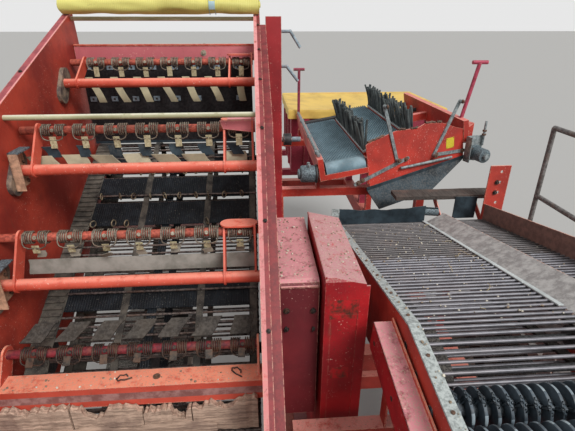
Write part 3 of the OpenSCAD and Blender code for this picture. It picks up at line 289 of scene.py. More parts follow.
def steel(name, bright, dull, rust=0.4, roughness=0.45, metallic=0.7, size=14, others=()):
    """Bare or plated steel worn by soil: bright where it rubs, brown where it rests."""
    mat, tree, shader, place = begin(name, roughness, metallic)
    spots, worn, patchy = blotches(tree, place, size, (0.35, 0.65), (0.38, 0.62), detail=5.0, rough=0.7)
    colour = coat(tree, dull, bright, worn)
    colour = recoloured(tree, place, colour, others, patchy, 0.12)
    brown = blotches(tree, place, size * 4, (0.45, 0.65), detail=5.0, rough=0.7)[1]
    colour = coat(tree, colour, "#6b4a36", brown, rust)
    ended(tree, shader, colour, spots, 0.001, 0.4, (roughness - 0.12, roughness + 0.25))
    return mat


def timber(name, pale, deep, along):
    """Weathered softwood: grain lines about 9 mm apart run along the piece, silvered and split."""
    mat, tree, shader, place = begin(name, 0.85, specular=0.2)
    stretch = {"x": (0.06, 1.0, 1.0), "y": (1.0, 0.06, 1.0)}[along]
    lie = add(tree, "Mapping", "Vector", {"Vector": place, "Scale": stretch})
    grain, lines = blotches(tree, lie, 9, (0.35, 0.65), detail=6.0, rough=0.75)
    colour = coat(tree, deep, pale, lines)
    stains = blotches(tree, place, 120, (0.45, 0.7), detail=4.0)[1]
    colour = coat(tree, colour, "#6f5a52", stains, 0.6)
    ended(tree, shader, colour, grain, 0.002, 0.6)
    return mat


def sheeting(name, fresh, soiled):
    """Coated tarpaulin: a weave drawn coarse so that it shows, under soft plastic, its folds darker."""
    mat, tree, shader, place = begin(name, 0.55, specular=0.35)
    threads = {"Vector": place, "Scale": 32.0, "Distortion": 0.4}
    weave = add(tree, "TexWave", "Fac", threads, {"bands_direction": "X"})
    patches = blotches(tree, place, 260, (0.42, 0.75), detail=5.0)[1]
    colour = coat(tree, fresh, soiled, patches)
    # Creases a hand's width long lie along the roll and the cover, darker in their folds
    lie = add(tree, "Mapping", "Vector", {"Vector": place, "Scale": (0.22, 1.0, 1.0)})
    folds = {"Vector": lie, "Scale": 22.0, "Detail": 3.0}
    creases = add(tree, "TexNoise", "Fac", folds, {"noise_type": "RIDGED_MULTIFRACTAL"})
    limits = {"Value": creases, "From Min": 0.75, "From Max": 1.15}
    sunk = add(tree, "MapRange", "Result", limits, {"interpolation_type": "SMOOTHSTEP"})
    colour = coat(tree, colour, "#8f8347", sunk, 0.22)
    specks = blotches(tree, place, 9, (0.62, 0.72), detail=4.0, rough=0.7)[1]
    colour = coat(tree, colour, "#8a7f57", specks, 0.6)
    relief = add(tree, "Math", 0, {0: creases, 1: 6.0, 2: weave}, {"operation": "MULTIPLY_ADD"})
    ended(tree, shader, colour, relief, 0.0012, 0.5)
    return mat


def casting(name, light, dark):
    """Sand-cast iron under thin paint: pitted, oily and dusty."""
    mat, tree, shader, place = begin(name, 0.6, 0.25)
    pits, high_spots = blotches(tree, place, 8, (0.35, 0.65), detail=5.0, rough=0.75)
    ended(tree, shader, coat(tree, dark, light, high_spots), pits, 0.002, 0.7)
    return mat


FINISH = {}
EVERYWHERE = (None, None, None)


def mix_paints():
    """The enamels, each with the places where the photo shows another colour on the same piece."""
    return {
        # Plate enamel: brick red with rose tops, chalked and partly painted light, and many rust freckles
        "wall": machine_paint("brick_red_plate_enamel", "#bb4430", "#d98c8c", "#84281f", 0.85, 0.3, 0.8, (
            # The right wall's flange stays darker, crimson under grey dust
            (EVERYWHERE, (ELEVATOR_RIGHT - 0.0075, None, None), "#a54c50", "#84373d"),
            # The left wall's flange is pale along its inner half only; outside it the dark crimson is painted
            # shade
            ((ELEVATOR_LEFT + 0.017, None, None), EVERYWHERE, "#8e3436", "#722729"),
        ), 0.9),
        # Beam enamel: orange red, salmon on top as painted sunlight over chalking, bare along its edges
        "beam": machine_paint("sunlit_orange_red_enamel", "#cc5240", "#ea8d70", "#ae3f2d", 0.6, 0.5, 1.0, (
            # The channel's sunk face, mauve with old soil
            ((None, None, 1.728), (None, 0.3765, 1.762), "#a57a74", "#80524d"),
        )),
        # Rose beam enamel, made brighter as painted light: an even dusty rose
        "far_beam": machine_paint("rose_faced_beam_enamel", "#d4787c", "#e29599", "#ba6066", 0.4, 0.3, 1.0),
        # Tube enamel: clean orange red, because flaps wipe it
        "tube": machine_paint("orange_red_tube_enamel", "#dd5f49", "#e58570", "#b8432f", 0.6, 0.25, 0.0, (
            # Clamp blocks on the right wall: dust-caked angle steel
            ((ELEVATOR_RIGHT - 0.01, None, None), (ELEVATOR_RIGHT + 0.0205, None, None),
             "#8c7a68", "#4f4541"),
        )),
        # Column enamel: deep crimson in shade
        "column": machine_paint("crimson_column_enamel", "#a5262b", "#cb6660", "#7d161b", 0.5, 0.3, 0.8, (
            # Cranks and shaft end of galvanised steel, and the shaft's greasy hub
            ((-0.2985, None, None), EVERYWHERE, "#8fa0a8", "#5d6a71"),
            ((-0.290, None, 2.26), (-0.234, None, 2.36), "#39393b", "#161618"),
        )),
        # Hood enamel: wine red sides under a rose top, chalked and partly painted light
        "hood": machine_paint("chalked_and_lit_rose_hood_enamel", "#82292f", "#cf878d", "#641f26", 0.4, 0.8, 0.6),
        # Box enamel: saturated crimson, its top grey-pink with dust and partly painted light
        "box": machine_paint("crimson_box_enamel", "#b8181f", "#b88184", "#86121a", 0.9, 0.85, 0.2, (
            # Brown burnt patches on the box's front
            ((-0.215, None, 2.030), (-0.110, 0.4050, 2.115), "#b8181f", "#4f2a1e"),
            ((-0.200, None, 1.745), (-0.130, 0.4050, 1.800), "#b8181f", "#5b2c20"),
        )),
        # Table enamel: scuffed red, bare where crop slides
        "table": machine_paint("scuffed_table_enamel", "#c23f2f", "#e09488", "#962c22", 0.6, 0.4, 1.0, (
            # The partition between the webs is scoured to dull steel
            ((0.605, 0.270, None), (0.738, 1.640, None), "#b0adaa", "#878381"),
            # The left side plate's inner face is brown with soil
            ((0.985, None, None), (1.0045, 1.600, None), "#87695f", "#6c554e"),
        )),
        # Separator enamel: bright red, pink on top with dust, chalking and painted light
        "separator": machine_paint(
            "dusty_separator_enamel", "#c63a2b", "#db7d74", "#93291f", 0.65, 0.4, 1.0, (
                # Crimson posts with T tops
                ((-0.100, 3.540, 2.10), (0.040, 3.580, 2.65), "#94304a", "#6d1b30"),
                ((1.080, 2.300, 2.28), (1.250, 2.360, 2.80), "#b03a55", "#8a2038"),
            )),
        # Body enamel: the plain machine red of frame and bunker
        "body": machine_paint("red_body_enamel", "#b23a2e", "#d27c6e", "#8a2a20", 0.5, 0.45),
        # Hopper enamel: plum red
        "hopper": machine_paint("plum_red_hopper_enamel", "#a32f45", "#cf7f8a", "#7d1f32", 0.4, 0.4),
        # Rod enamel: dull cream, hardly worn
        "cream": machine_paint("cream_rod_enamel", "#b6b391", "#d0ceb8", "#95916c", 0.5, 0.2, 0.0),
        # Rim enamel: pale grey
        "rim": machine_paint("pale_grey_rim_enamel", "#bdb9ae", "#cfcbc2", "#96928a", 0.5, 0.3, 0.6),
    }


def mix_rubbers():
    """Rubber and rubbered canvas, from black belts to pale dusty flaps."""
    return {
        # Fresh black, nearly clean
        "belt": rubber("cleated_belt_rubber", "#141212", "#2b2726", 0.3),
        # Black ribbed panels with a painted blue reflection, beside grey-brown woven straps darkened as
        # painted shade
        "web_belt": panelled_with_painted_light("panel_and_strap_rubber_painted_reflection_and_shade", "#0e1318", "#20262c", "#35322f", "#655f56"),
        # Cream and brown canvas that the sun has bleached, or soil has stained; the near row's brown is
        # darkened further as painted shade
        "flap": rubber("aged_canvas_rubber", "#a39a83", "#c4b99b", 0.5, 7.0),
        "far_flap": rubber("cream_canvas_rubber", "#9f977c", "#bdb493", 0.4, 6.0),
        "near_flap_painted_shade": rubber("brown_canvas_rubber_darkened_as_shade", "#2a2522", "#433c35", 0.12, 12.0),
        "strip_flap": rubber("dust_caked_strip_rubber", "#6c6960", "#98928a", 0.45, 16.0),
        "dull_flap": rubber("dusty_flap_rubber", "#6e665b", "#938a7b", 0.7, 7.0),
        # Blue-grey sheet rubber
        "black_flap": rubber("grey_black_flap_rubber", "#1b242a", "#36444c", 0.3, 12.0, 0.72, (
            # The seal along the table is pale with grit, and the far curtain stays black
            ((-0.020, -0.360, 1.750), (0.050, 1.640, None), "#b7c1c0", "#878c8a"),
            ((ELEVATOR_RIGHT - 0.01, 1.650, 2.350), (ELEVATOR_LEFT + 0.01, None, None), "#2a2728", "#161315"),
        )),
        # Discs polished by crop, and the brighter arris of their lobes: painted highlight with wear
        "disc": rubber("lobed_disc_rubber", "#2a333a", "#55616a", 0.15, 9.0, 0.5),
        "disc_edge_highlight_and_wear": rubber("worn_lobe_rubber_painted_highlight", "#66747e", "#9aa7ad", 0.2, 5.0, 0.45),
        # Pale blue-grey of the studded belts, the studs painted darker as painted shade
        "stud": rubber("blue_grey_studded_rubber", "#607b86", "#8aa6b1", 0.3, 6.0),
        "stud_painted_shade": rubber("stud_rubber_darkened_as_shade", "#4c626c", "#5f7680", 0.1, 6.0),
        # Charcoal fingers with dry soil on them
        "comb": rubber("comb_finger_rubber", "#30383c", "#5b6260", 0.5, 5.0),
        # Pale with grit along the web's edge and under the fingers
        "strip": rubber("pale_gritty_seal_rubber", "#a9b1b1", "#c6cccc", 0.3, 5.0),
        # Brown-black tyres
        "tyre": rubber("tyre_tread_rubber", "#1d1c1b", "#37332f", 0.6, 6.0, 0.8),
        # Perished brown edging
        "torn_edge": rubber("perished_edging_rubber", "#3d2a22", "#6a4a3a", 0.4, 6.0),
    }


def mix_steels():
    """Bare, plated and sprung steel."""
    return {
        # Rods caked with soil, bright at their crests
        "web": steel("soil_worn_web_steel", "#867b76", "#3d3533", 0.5, 0.45, 0.6),
        # Rods that crop keeps polished
        "table_rod": steel("polished_web_steel", "#7f7e83", "#646368", 0.12, 0.34, 0.35, 60, (
            # The far half of both webs is filmed with brown dust
            ((None, 0.880, 1.700), EVERYWHERE, "#625e5e", "#4b4848"),
        )),
        # Shafts with the rest of their red paint, crimson in the near row
        "shaft": steel("painted_and_rusted_shaft", "#c8604c", "#7b3529", 0.5, 0.6, 0.1, 14, (
            (EVERYWHERE, (None, 0.600, None), "#84232e", "#541620"),
        )),
        # Spring wire, weathered grey or soiled brown
        "spring": steel("weathered_spring_wire", "#9a9080", "#4d453d", 0.4, 0.5, 0.4),
        "near_spring": steel("brown_spring_wire", "#4a3d35", "#211b18", 0.5, 0.6, 0.3),
        # Spring leaves, dusted cream or dark
        "clip_cream": steel("cream_dusted_leaf", "#c9c09c", "#948868", 0.2, 0.6, 0.15, 10),
        "clip": steel("spring_steel_clip", "#4d443b", "#2b2420", 0.5, 0.55, 0.3),
        # Bolts: worn zinc, black oxide and rust
        "clip_bolt": steel("dull_round_bolt", "#c0b8a6", "#7f7564", 0.35, 0.45, 0.5, 8),
        "bolt": steel("blackened_bolt_steel", "#4b4440", "#231f1e", 0.5, 0.55, 0.5, 8),
        "nut": steel("rusty_nut_steel", "#7d6455", "#4d372b", 0.7, 0.65, 0.3, 8),
        # Tan hook wire
        "hook": steel("rod_hook_wire", "#b9ab8c", "#4d443b", 0.5, 0.5, 0.4, 60),
        # Zinc with a blue cast, on clamp plates and bars
        "curtain_plate": steel("blue_grey_clamp_plate", "#9fb2bd", "#6b7c86", 0.25, 0.5, 0.45, 16),
        "galvanised": steel("galvanised_bar", "#a2abac", "#666f71", 0.15, 0.45, 0.5, 22),
        # Angle steel under cream dust
        "end_steel": steel("dusty_cream_angle_steel", "#dcae8e", "#9c7a63", 0.3, 0.6, 0.1, 26),
        # Dark grey spacers
        "spacer": steel("grey_spacer_steel", "#4b565d", "#1f2529", 0.2, 0.5, 0.3, 10),
        # Ground and chromed: the one mirror-like finish
        "chrome": steel("ground_piston_steel", "#b9bcc0", "#8e9196", 0.1, 0.25, 0.9, 40),
        # Share and coulters that the soil scours bright
        "blade": steel("soil_polished_share_steel", "#a3a09c", "#6f6a66", 0.35, 0.35, 0.8, 30),
        # Deck plate, grey and dusty
        "deck": steel("expanded_deck_steel", "#8b8886", "#5e5a58", 0.4, 0.55, 0.5, 26),
    }


def mix_others():
    """Cast iron, timber and what lies on the machine, and coated sheets."""
    return {
        # Blue-grey and black paint over pitted castings, and yellow on a small plate
        "cast": casting("grey_cast_iron", "#7c8b91", "#2f363b"),
        "black_cast": casting("black_painted_casting", "#4a4a4b", "#1c1c1d"),
        "yellow_plate": casting("yellow_enamelled_plate", "#d8c53c", "#c9b52f"),
        # Silvered boards and a soiled plank
        "board": timber("silvered_softwood_board", "#cdb09b", "#877263", "x"),
        "plank": timber("soiled_deck_plank", "#5c5550", "#3a3431", "y"),
        # Dry crumbs, chaff and stalks take the same fibrous look
        "crumb": timber("dry_soil_crumb", "#a3927e", "#6f604f", "x"),
        "chip": timber("pale_chaff", "#d8d2c2", "#b5ac98", "x"),
        "stalk": timber("dry_haulm_stalk", "#c9b98f", "#9c8b62", "x"),
        # Lemon roll, ochre cover and a blue-grey tie
        "yellow_roll": sheeting("coated_yellow_sheet", "#d3cc74", "#b5ab5c"),
        "yellow_cover": sheeting("faded_yellow_cover", "#dab75c", "#b99a52"),
        "strap": sheeting("blue_grey_webbing", "#acc7ce", "#8aa1a8"),
    }


WEARS = {
    "wall": "elevator_wall_left elevator_wall_right",
    "beam": "elevator_beams",
    "tube": "stripper_tubes",
    "shaft": "stripper_shafts",
    "board": "elevator_boards",
    "cream": "tie_rods",
    "web": "elevator_rods intake_rods",
    "web_belt": "elevator_belts",
    "belt": "intake_belts table_belts",
    "black_cast": "web_rollers steer_barrel lift_barrel discharge_barrel",
    "spring": "stripper_springs",
    "flap": "stripper_flaps",
    "column": "side_column",
    "hood": "chute_hood",
    "box": "chute_box",
    "table": "table_frame",
    "table_rod": "table_rods",
    "disc": "disc_roller_1 disc_roller_2 disc_roller_3",
    "separator": "separator_frame",
    "stud": "stud_belts",
    "comb": "finger_combs",
    "galvanised": "comb_linkage jack_leg",
    "cast": "hydraulic_motors gearbox",
    "black_flap": "rubber_flaps",
    "hopper": "rear_hopper",
    "body": "bunker discharge_frame chassis axle_beam drawbar intake_frame",
    "yellow_cover": "hopper_sheet",
    "yellow_roll": "tarp_roll",
    "deck": "platform discharge_slats bunker_floor",
    "rim": "rim_left rim_right",
    "tyre": "tyre_left tyre_right",
    "blade": "share coulter_left coulter_right diabolo_roller",
    "chrome": "steer_rod lift_rod discharge_rod",
}


class HarvesterLight(bpy.types.PropertyGroup):
    floor_colour: bpy.props.FloatVectorProperty(
        name="Floor", description="Colour of the plain floor", subtype="COLOR",
        default=(0.385, 0.38, 0.368), min=0, max=1)
    sky: bpy.props.FloatProperty(
        name="Sky", description="Strength of the even light", default=0.66, min=0)
    sun: bpy.props.FloatProperty(
        name="Sun", description="Strength of the soft main light", default=2.6, min=0)
    lens: bpy.props.FloatProperty(
        name="Lens", description="Camera's focal length in millimetres", default=26.2, min=5)
    eye: bpy.props.FloatVectorProperty(
        name="Camera", description="Where the camera stands", subtype="TRANSLATION", unit="LENGTH",
        default=(-0.45, -0.80, 3.00))
    turn: bpy.props.FloatVectorProperty(
        name="Turn", description="Camera's turn", subtype="EULER",
        default=(math.radians(65.4), 0.0, math.radians(-4.0)))


class HarvesterStrippers(bpy.types.PropertyGroup):
    wire: bpy.props.FloatProperty(
        name="Spring wire", description="Diameter of the coil springs' wire", unit="LENGTH",
        default=0.0056, min=0.003, max=0.008)
    rings: bpy.props.IntProperty(
        name="Rings", description="Rings in each coil spring", default=4, min=2, max=6)


class HarvesterCovers(bpy.types.PropertyGroup):
    turns: bpy.props.FloatProperty(
        name="Turns", description="Turns of the rolled sheet", default=4.2, min=2, max=6)
    hang: bpy.props.FloatProperty(
        name="Hang", description="How far the hopper's cover hangs over its rim", unit="LENGTH",
        default=0.098, min=0.04, max=0.12)


class HarvesterSeparator(bpy.types.PropertyGroup):
    stud_pitch: bpy.props.FloatProperty(
        name="Studs", description="Distance between the belts' studs", unit="LENGTH",
        default=0.022, min=0.018, max=0.04)
    finger: bpy.props.FloatProperty(
        name="Finger length", description="Length of a rubber finger", unit="LENGTH",
        default=0.200, min=0.12, max=0.22)
    finger_pitch: bpy.props.FloatProperty(
        name="Finger pitch", description="Distance between the fingers of one row", unit="LENGTH",
        default=0.038, min=0.03, max=0.06)


class HarvesterSoil(bpy.types.PropertyGroup):
    amount: bpy.props.FloatProperty(
        name="Soil", description="How much soil and chaff lies on the machine",
        default=1.0, min=0.1, max=2)


class HARVESTER_OT_finishes(bpy.types.Operator):
    """Give every CAD piece its finish"""

    bl_idname = "harvester.finishes"
    bl_label = "Finishes"

    def execute(self, context):
        for mix in (mix_paints, mix_rubbers, mix_steels, mix_others):
            FINISH.update(mix())
        for finish, nodes in WEARS.items():
            for node in nodes.split():
                mesh = CAD[node].data
                mesh.materials.clear()
                mesh.materials.append(FINISH[finish])
        return {"FINISHED"}


def clear():
    """Deselect everything, because an operator acts on all that is selected."""
    bpy.ops.object.select_all(action="DESELECT")


def only(piece):
    clear()
    piece.select_set(True)
    bpy.context.view_layer.objects.active = piece


def picked(piece, kind, test):
    """Enter edit mode with what passes the test selected, by its middle and normal; kind is VERT or FACE."""
    only(piece)
    bpy.ops.object.mode_set(mode="EDIT")
    bpy.ops.mesh.select_mode(type=kind)
    bpy.ops.mesh.select_all(action="DESELECT")
    shape = bmesh.from_edit_mesh(piece.data)
    for part in (shape.verts if kind == "VERT" else shape.faces):
        middle = part.co if kind == "VERT" else part.calc_center_median()
        part.select_set(test(middle, part.normal))
    shape.select_flush(True)
    bmesh.update_edit_mesh(piece.data)


def left_edit():
    bpy.ops.object.mode_set(mode="OBJECT")


def subdivided(piece, cuts):
    """Cut every edge of a piece, so that it can be bent."""
    only(piece)
    bpy.ops.object.mode_set(mode="EDIT")
    bpy.ops.mesh.select_all(action="SELECT")
    bpy.ops.mesh.subdivide(number_cuts=cuts)
    left_edit()
    return piece


def opened(piece, test):
    """Delete the faces that pass the test."""
    picked(piece, "FACE", test)
    bpy.ops.mesh.delete(type="FACE")
    left_edit()
    return piece


def tuned(piece, kind, **settings):
    """Add a modifier, set it and apply it."""
    only(piece)
    step = piece.modifiers.new(kind, kind)
    for key, value in settings.items():
        setattr(step, key, value)
    bpy.ops.object.modifier_apply(modifier=step.name)
    return piece


def block(size, place=(0, 0, 0), edge=0.0, turn=(0, 0, 0)):
    """A cube at its size and place, its edges rounded. Its mesh stays around its own middle."""
    clear()
    bpy.ops.mesh.primitive_cube_add(size=1.0, location=place, rotation=turn, scale=size)
    piece = bpy.context.active_object
    bpy.ops.object.transform_apply(location=False, rotation=False)
    if edge:
        tuned(piece, "BEVEL", width=edge, segments=2, limit_method="ANGLE")
    return piece


def drum(radius, depth, place=(0, 0, 0), axis="Z", sides=16, edge=0.0):
    """A cylinder along an axis, its end edges rounded."""
    clear()
    quarter = math.radians(90)
    turn = {"X": (0, quarter, 0), "Y": (quarter, 0, 0), "Z": (0, 0, 0)}[axis]
    bpy.ops.mesh.primitive_cylinder_add(
        vertices=sides, radius=radius, depth=depth, location=place, rotation=turn)
    piece = bpy.context.active_object
    if edge:
        tuned(piece, "BEVEL", width=edge, segments=2, limit_method="ANGLE", angle_limit=math.radians(50))
    return piece


def wire(points, radius, sides=6, closed=False):
    """A round wire bent through points, made a mesh."""
    curve = bpy.data.curves.new("wire", "CURVE")
    curve.dimensions = "3D"
    curve.bevel_depth = radius
    curve.bevel_resolution = sides // 4
    curve.use_fill_caps = not closed
    line = curve.splines.new("POLY")
    line.points.add(len(points) - 1)
    for spot, place in zip(line.points, points):
        spot.co = (*place, 1.0)
    line.use_cyclic_u = closed
    piece = bpy.data.objects.new("wire", curve)
    bpy.context.collection.objects.link(piece)
    only(piece)
    bpy.ops.object.convert(target="MESH")
    return bpy.context.active_object


def wear(piece, finish):
    piece.data.materials.clear()
    piece.data.materials.append(FINISH[finish])
    return piece


def smooth(piece, angle=40):
    only(piece)
    bpy.ops.object.shade_smooth_by_angle(angle=math.radians(angle))
    return piece


def joined(pieces):
    """Several pieces as one mesh, its place applied."""
    clear()
    for piece in pieces:
        piece.select_set(True)
    bpy.context.view_layer.objects.active = pieces[0]
    if len(pieces) > 1:
        bpy.ops.object.join()
    bpy.ops.object.transform_apply()
    return bpy.context.active_object


def settled(piece, name, body="machine"):
    """Give a finished piece its name and body, with its place in its mesh."""
    only(piece)
    bpy.ops.object.transform_apply()
    piece.name = piece.data.name = name
    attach(piece, body)
    return piece


def strewn(name, models, body="machine"):
    """Copy each model, with its own mesh, to every place given for it, and join the copies in one piece."""
    copies = []
    for model, places in models:
        for place in places:
            copy = model.copy()
            copy.data = model.data.copy()
            bpy.context.collection.objects.link(copy)
            copy.matrix_world = place @ model.matrix_world
            copies.append(copy)
    for model, places in models:
        bpy.data.objects.remove(model)
    return settled(joined(copies), name, body)


def at(x, y, z, turn=(0.0, 0.0, 0.0)):
    """A place and a turn in degrees."""
    turned = Euler([math.radians(a) for a in turn]).to_matrix().to_4x4()
    return Matrix.Translation((x, y, z)) @ turned


AS_MADE = [Matrix()]


def bolt(radius, height, finish="bolt", washer=0.0):
    """A hexagon head that stands up from z = 0, with its washer."""
    head = drum(radius, height, (0, 0, height / 2 + 0.002), sides=6, edge=radius * 0.12)
    parts = [wear(head, finish)]
    if washer:
        parts.append(wear(drum(washer, 0.003, (0, 0, 0.0010), sides=18, edge=0.0006), finish))
    return joined(parts)


class HARVESTER_OT_springs(bpy.types.Operator):
    """Wind the stripper springs and hang their clips and canvas flaps"""

    bl_idname = "harvester.springs"
    bl_label = "Stripper springs and flaps"

    def coil(self, wire_r, radius, rings, finish):
        """One coil spring along X from x = 0, and its leg that comes down to the clip."""
        steps, pitch = 14, 3.0 * wire_r
        points = []
        for k in range(rings * steps + 1):
            a = 2 * math.pi * k / steps
            points.append((k * pitch / steps, -radius * math.sin(a), radius * math.cos(a)))
        end = points[-1][0]
        # The leg leaves the last ring and turns in to the clip: x, then radii in y and z
        leg = ((end, -0.9, 0.5), (end, -1.05, -0.4), (end - 0.001, -1.05, -1.0),
               (end - 0.006, -1.0, -1.45), (end * 0.35, -0.95, -1.75), (-0.008, -0.9, -1.7))
        points += [(x, radius * y, radius * z) for x, y, z in leg]
        return smooth(wear(wire(points, wire_r), finish), 60)

    def mirrored(self, coil):
        """The same spring wound the other way, its faces turned outwards again."""
        other = coil.copy()
        other.data = coil.data.copy()
        bpy.context.collection.objects.link(other)
        other.scale = (-1, 1, 1)
        only(other)
        bpy.ops.object.transform_apply()
        bpy.ops.object.mode_set(mode="EDIT")
        bpy.ops.mesh.select_all(action="SELECT")
        bpy.ops.mesh.normals_make_consistent(inside=False)
        left_edit()
        return other

    def clip(self, drop, finish):
        """A bent steel leaf that hooks over the spring's legs and holds the flap."""
        top = -0.024
        leaf = subdivided(block((0.027, 0.003, drop), (0, -0.021, top - drop / 2)), 5)
        # The leaf bows towards its middle, as spring steel does
        for spot in leaf.data.vertices:
            along = (top - spot.co.z) / drop
            bow = math.sin(math.pi * min(max(along, 0.0), 1.0) * 1.2)
            spot.co.y += -0.012 * bow + 0.006 * along
        tuned(leaf, "BEVEL", width=0.0008, segments=1, limit_method="ANGLE")
        return smooth(wear(leaf, finish))

    def flap(self, length, lean, width, start, seed, finish):
        """One flap in its row's frame: it hangs along -Y, leans sideways and has a worn end."""
        chance = random.Random(seed)
        piece = subdivided(block((width, length - start, 0.006), (0, -(start + length) / 2, 0)), 7)
        bow, twist = chance.uniform(-0.006, 0.010), chance.uniform(-0.006, 0.006)
        nick = chance.uniform(0.002, 0.012)
        for spot in piece.data.vertices:
            along = (-spot.co.y - start) / (length - start)
            across = spot.co.x / width
            spot.co.z += bow * along * along + twist * along * across * 2
            if along > 0.93:
                worn = nick * (0.5 + 0.5 * math.sin(across * 9 + seed))
                spot.co.y += worn + chance.uniform(0, 0.002)
            frayed = 0.003 * math.sin(along * 5 + seed) if abs(across) > 0.45 else 0.0
            spot.co.x += lean * along + frayed
        tuned(piece, "BEVEL", width=0.0012, segments=1, limit_method="ANGLE", angle_limit=math.radians(50))
        return smooth(wear(piece, finish))

    def hung(self, row, x, down=0.0, out=0.0):
        """Where a flap hangs from its row's shaft."""
        y, z, tilt = ROWS[row]
        return at(x, y, z, (90 - tilt, 0, 0)) @ Matrix.Translation((0, down - SHAFT_R, out))

    def execute(self, context):
        size = context.scene.harvester_strippers
        springs, leaves, canvas = [], [], []
        middles = [GROUP_X0 + g * GROUP_PITCH for g in range(GROUPS)]
        half_gap, bolt_seat = 0.011, Matrix.Translation((0, 0, 0.016))
        for row, (y, z, _) in ROWS.items():
            near, tip = row == "near", SPRING_TURNS[row]
            finish = "near_spring" if near else "spring"
            left = self.coil(size.wire / 2, SHAFT_R + size.wire / 2, size.rings, finish)
            for coil, side in ((left, half_gap), (self.mirrored(left), -half_gap)):
                springs.append((coil, [at(x + side, y, z, (-tip, 0, 0)) for x in middles]))
            # No two neighbouring leaves hang quite alike
            sways = [4 * (i % 3 - 1) for i in range(GROUPS)]
            if near:
                leaf, turns = self.clip(0.034, "clip"), [(-tip - 20, 0, sway) for sway in sways]
            else:
                leaf = self.clip(0.034 if row == "low" else 0.050, "clip_cream")
                turns = [(sway - 2, 0, 0) for sway in sways]
            leaves.append((leaf, [at(x, y, z, turn) for x, turn in zip(middles, turns)]))
            pin = bolt(0.0085, 0.006, "bolt" if near else "clip_bolt")
            leaves.append((pin, [at(x, y, z, (90 - tip, 0, 0)) @ bolt_seat for x in middles]))
            length, start, lean, width, finish = FLAPS[row]
            for g, x in enumerate(middles):
                # The last flap has the wall beside it and can't lean
                lean_here = min(lean, 0.014) if g == GROUPS - 1 else lean
                piece = self.flap(length, lean_here, width, start, 10 * g + len(row), finish)
                canvas.append((piece, [self.hung(row, x)]))
                if row == "middle":
                    # A black rubber tongue joins the leaf to the canvas
                    tongue = self.flap(0.095, lean * 0.5, 0.05, 0.045, 7 * g, "black_flap")
                    canvas.append((tongue, [self.hung(row, x, out=0.005)]))
            if row == "low":
                # One long strip hangs behind this row's short flaps
                across = (GROUPS - 1) * GROUP_PITCH + 0.112
                strip = self.flap(0.140, 0.0, across, 0.080, 3, "strip_flap")
                canvas.append((strip, [self.hung(row, middles[GROUPS // 2], down=0.004)]))
        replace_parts(strewn("stripper_coils", springs), "stripper_springs")
        strewn("stripper_leaves", leaves)
        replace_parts(strewn("stripper_canvas", canvas), "stripper_flaps")
        return {"FINISHED"}


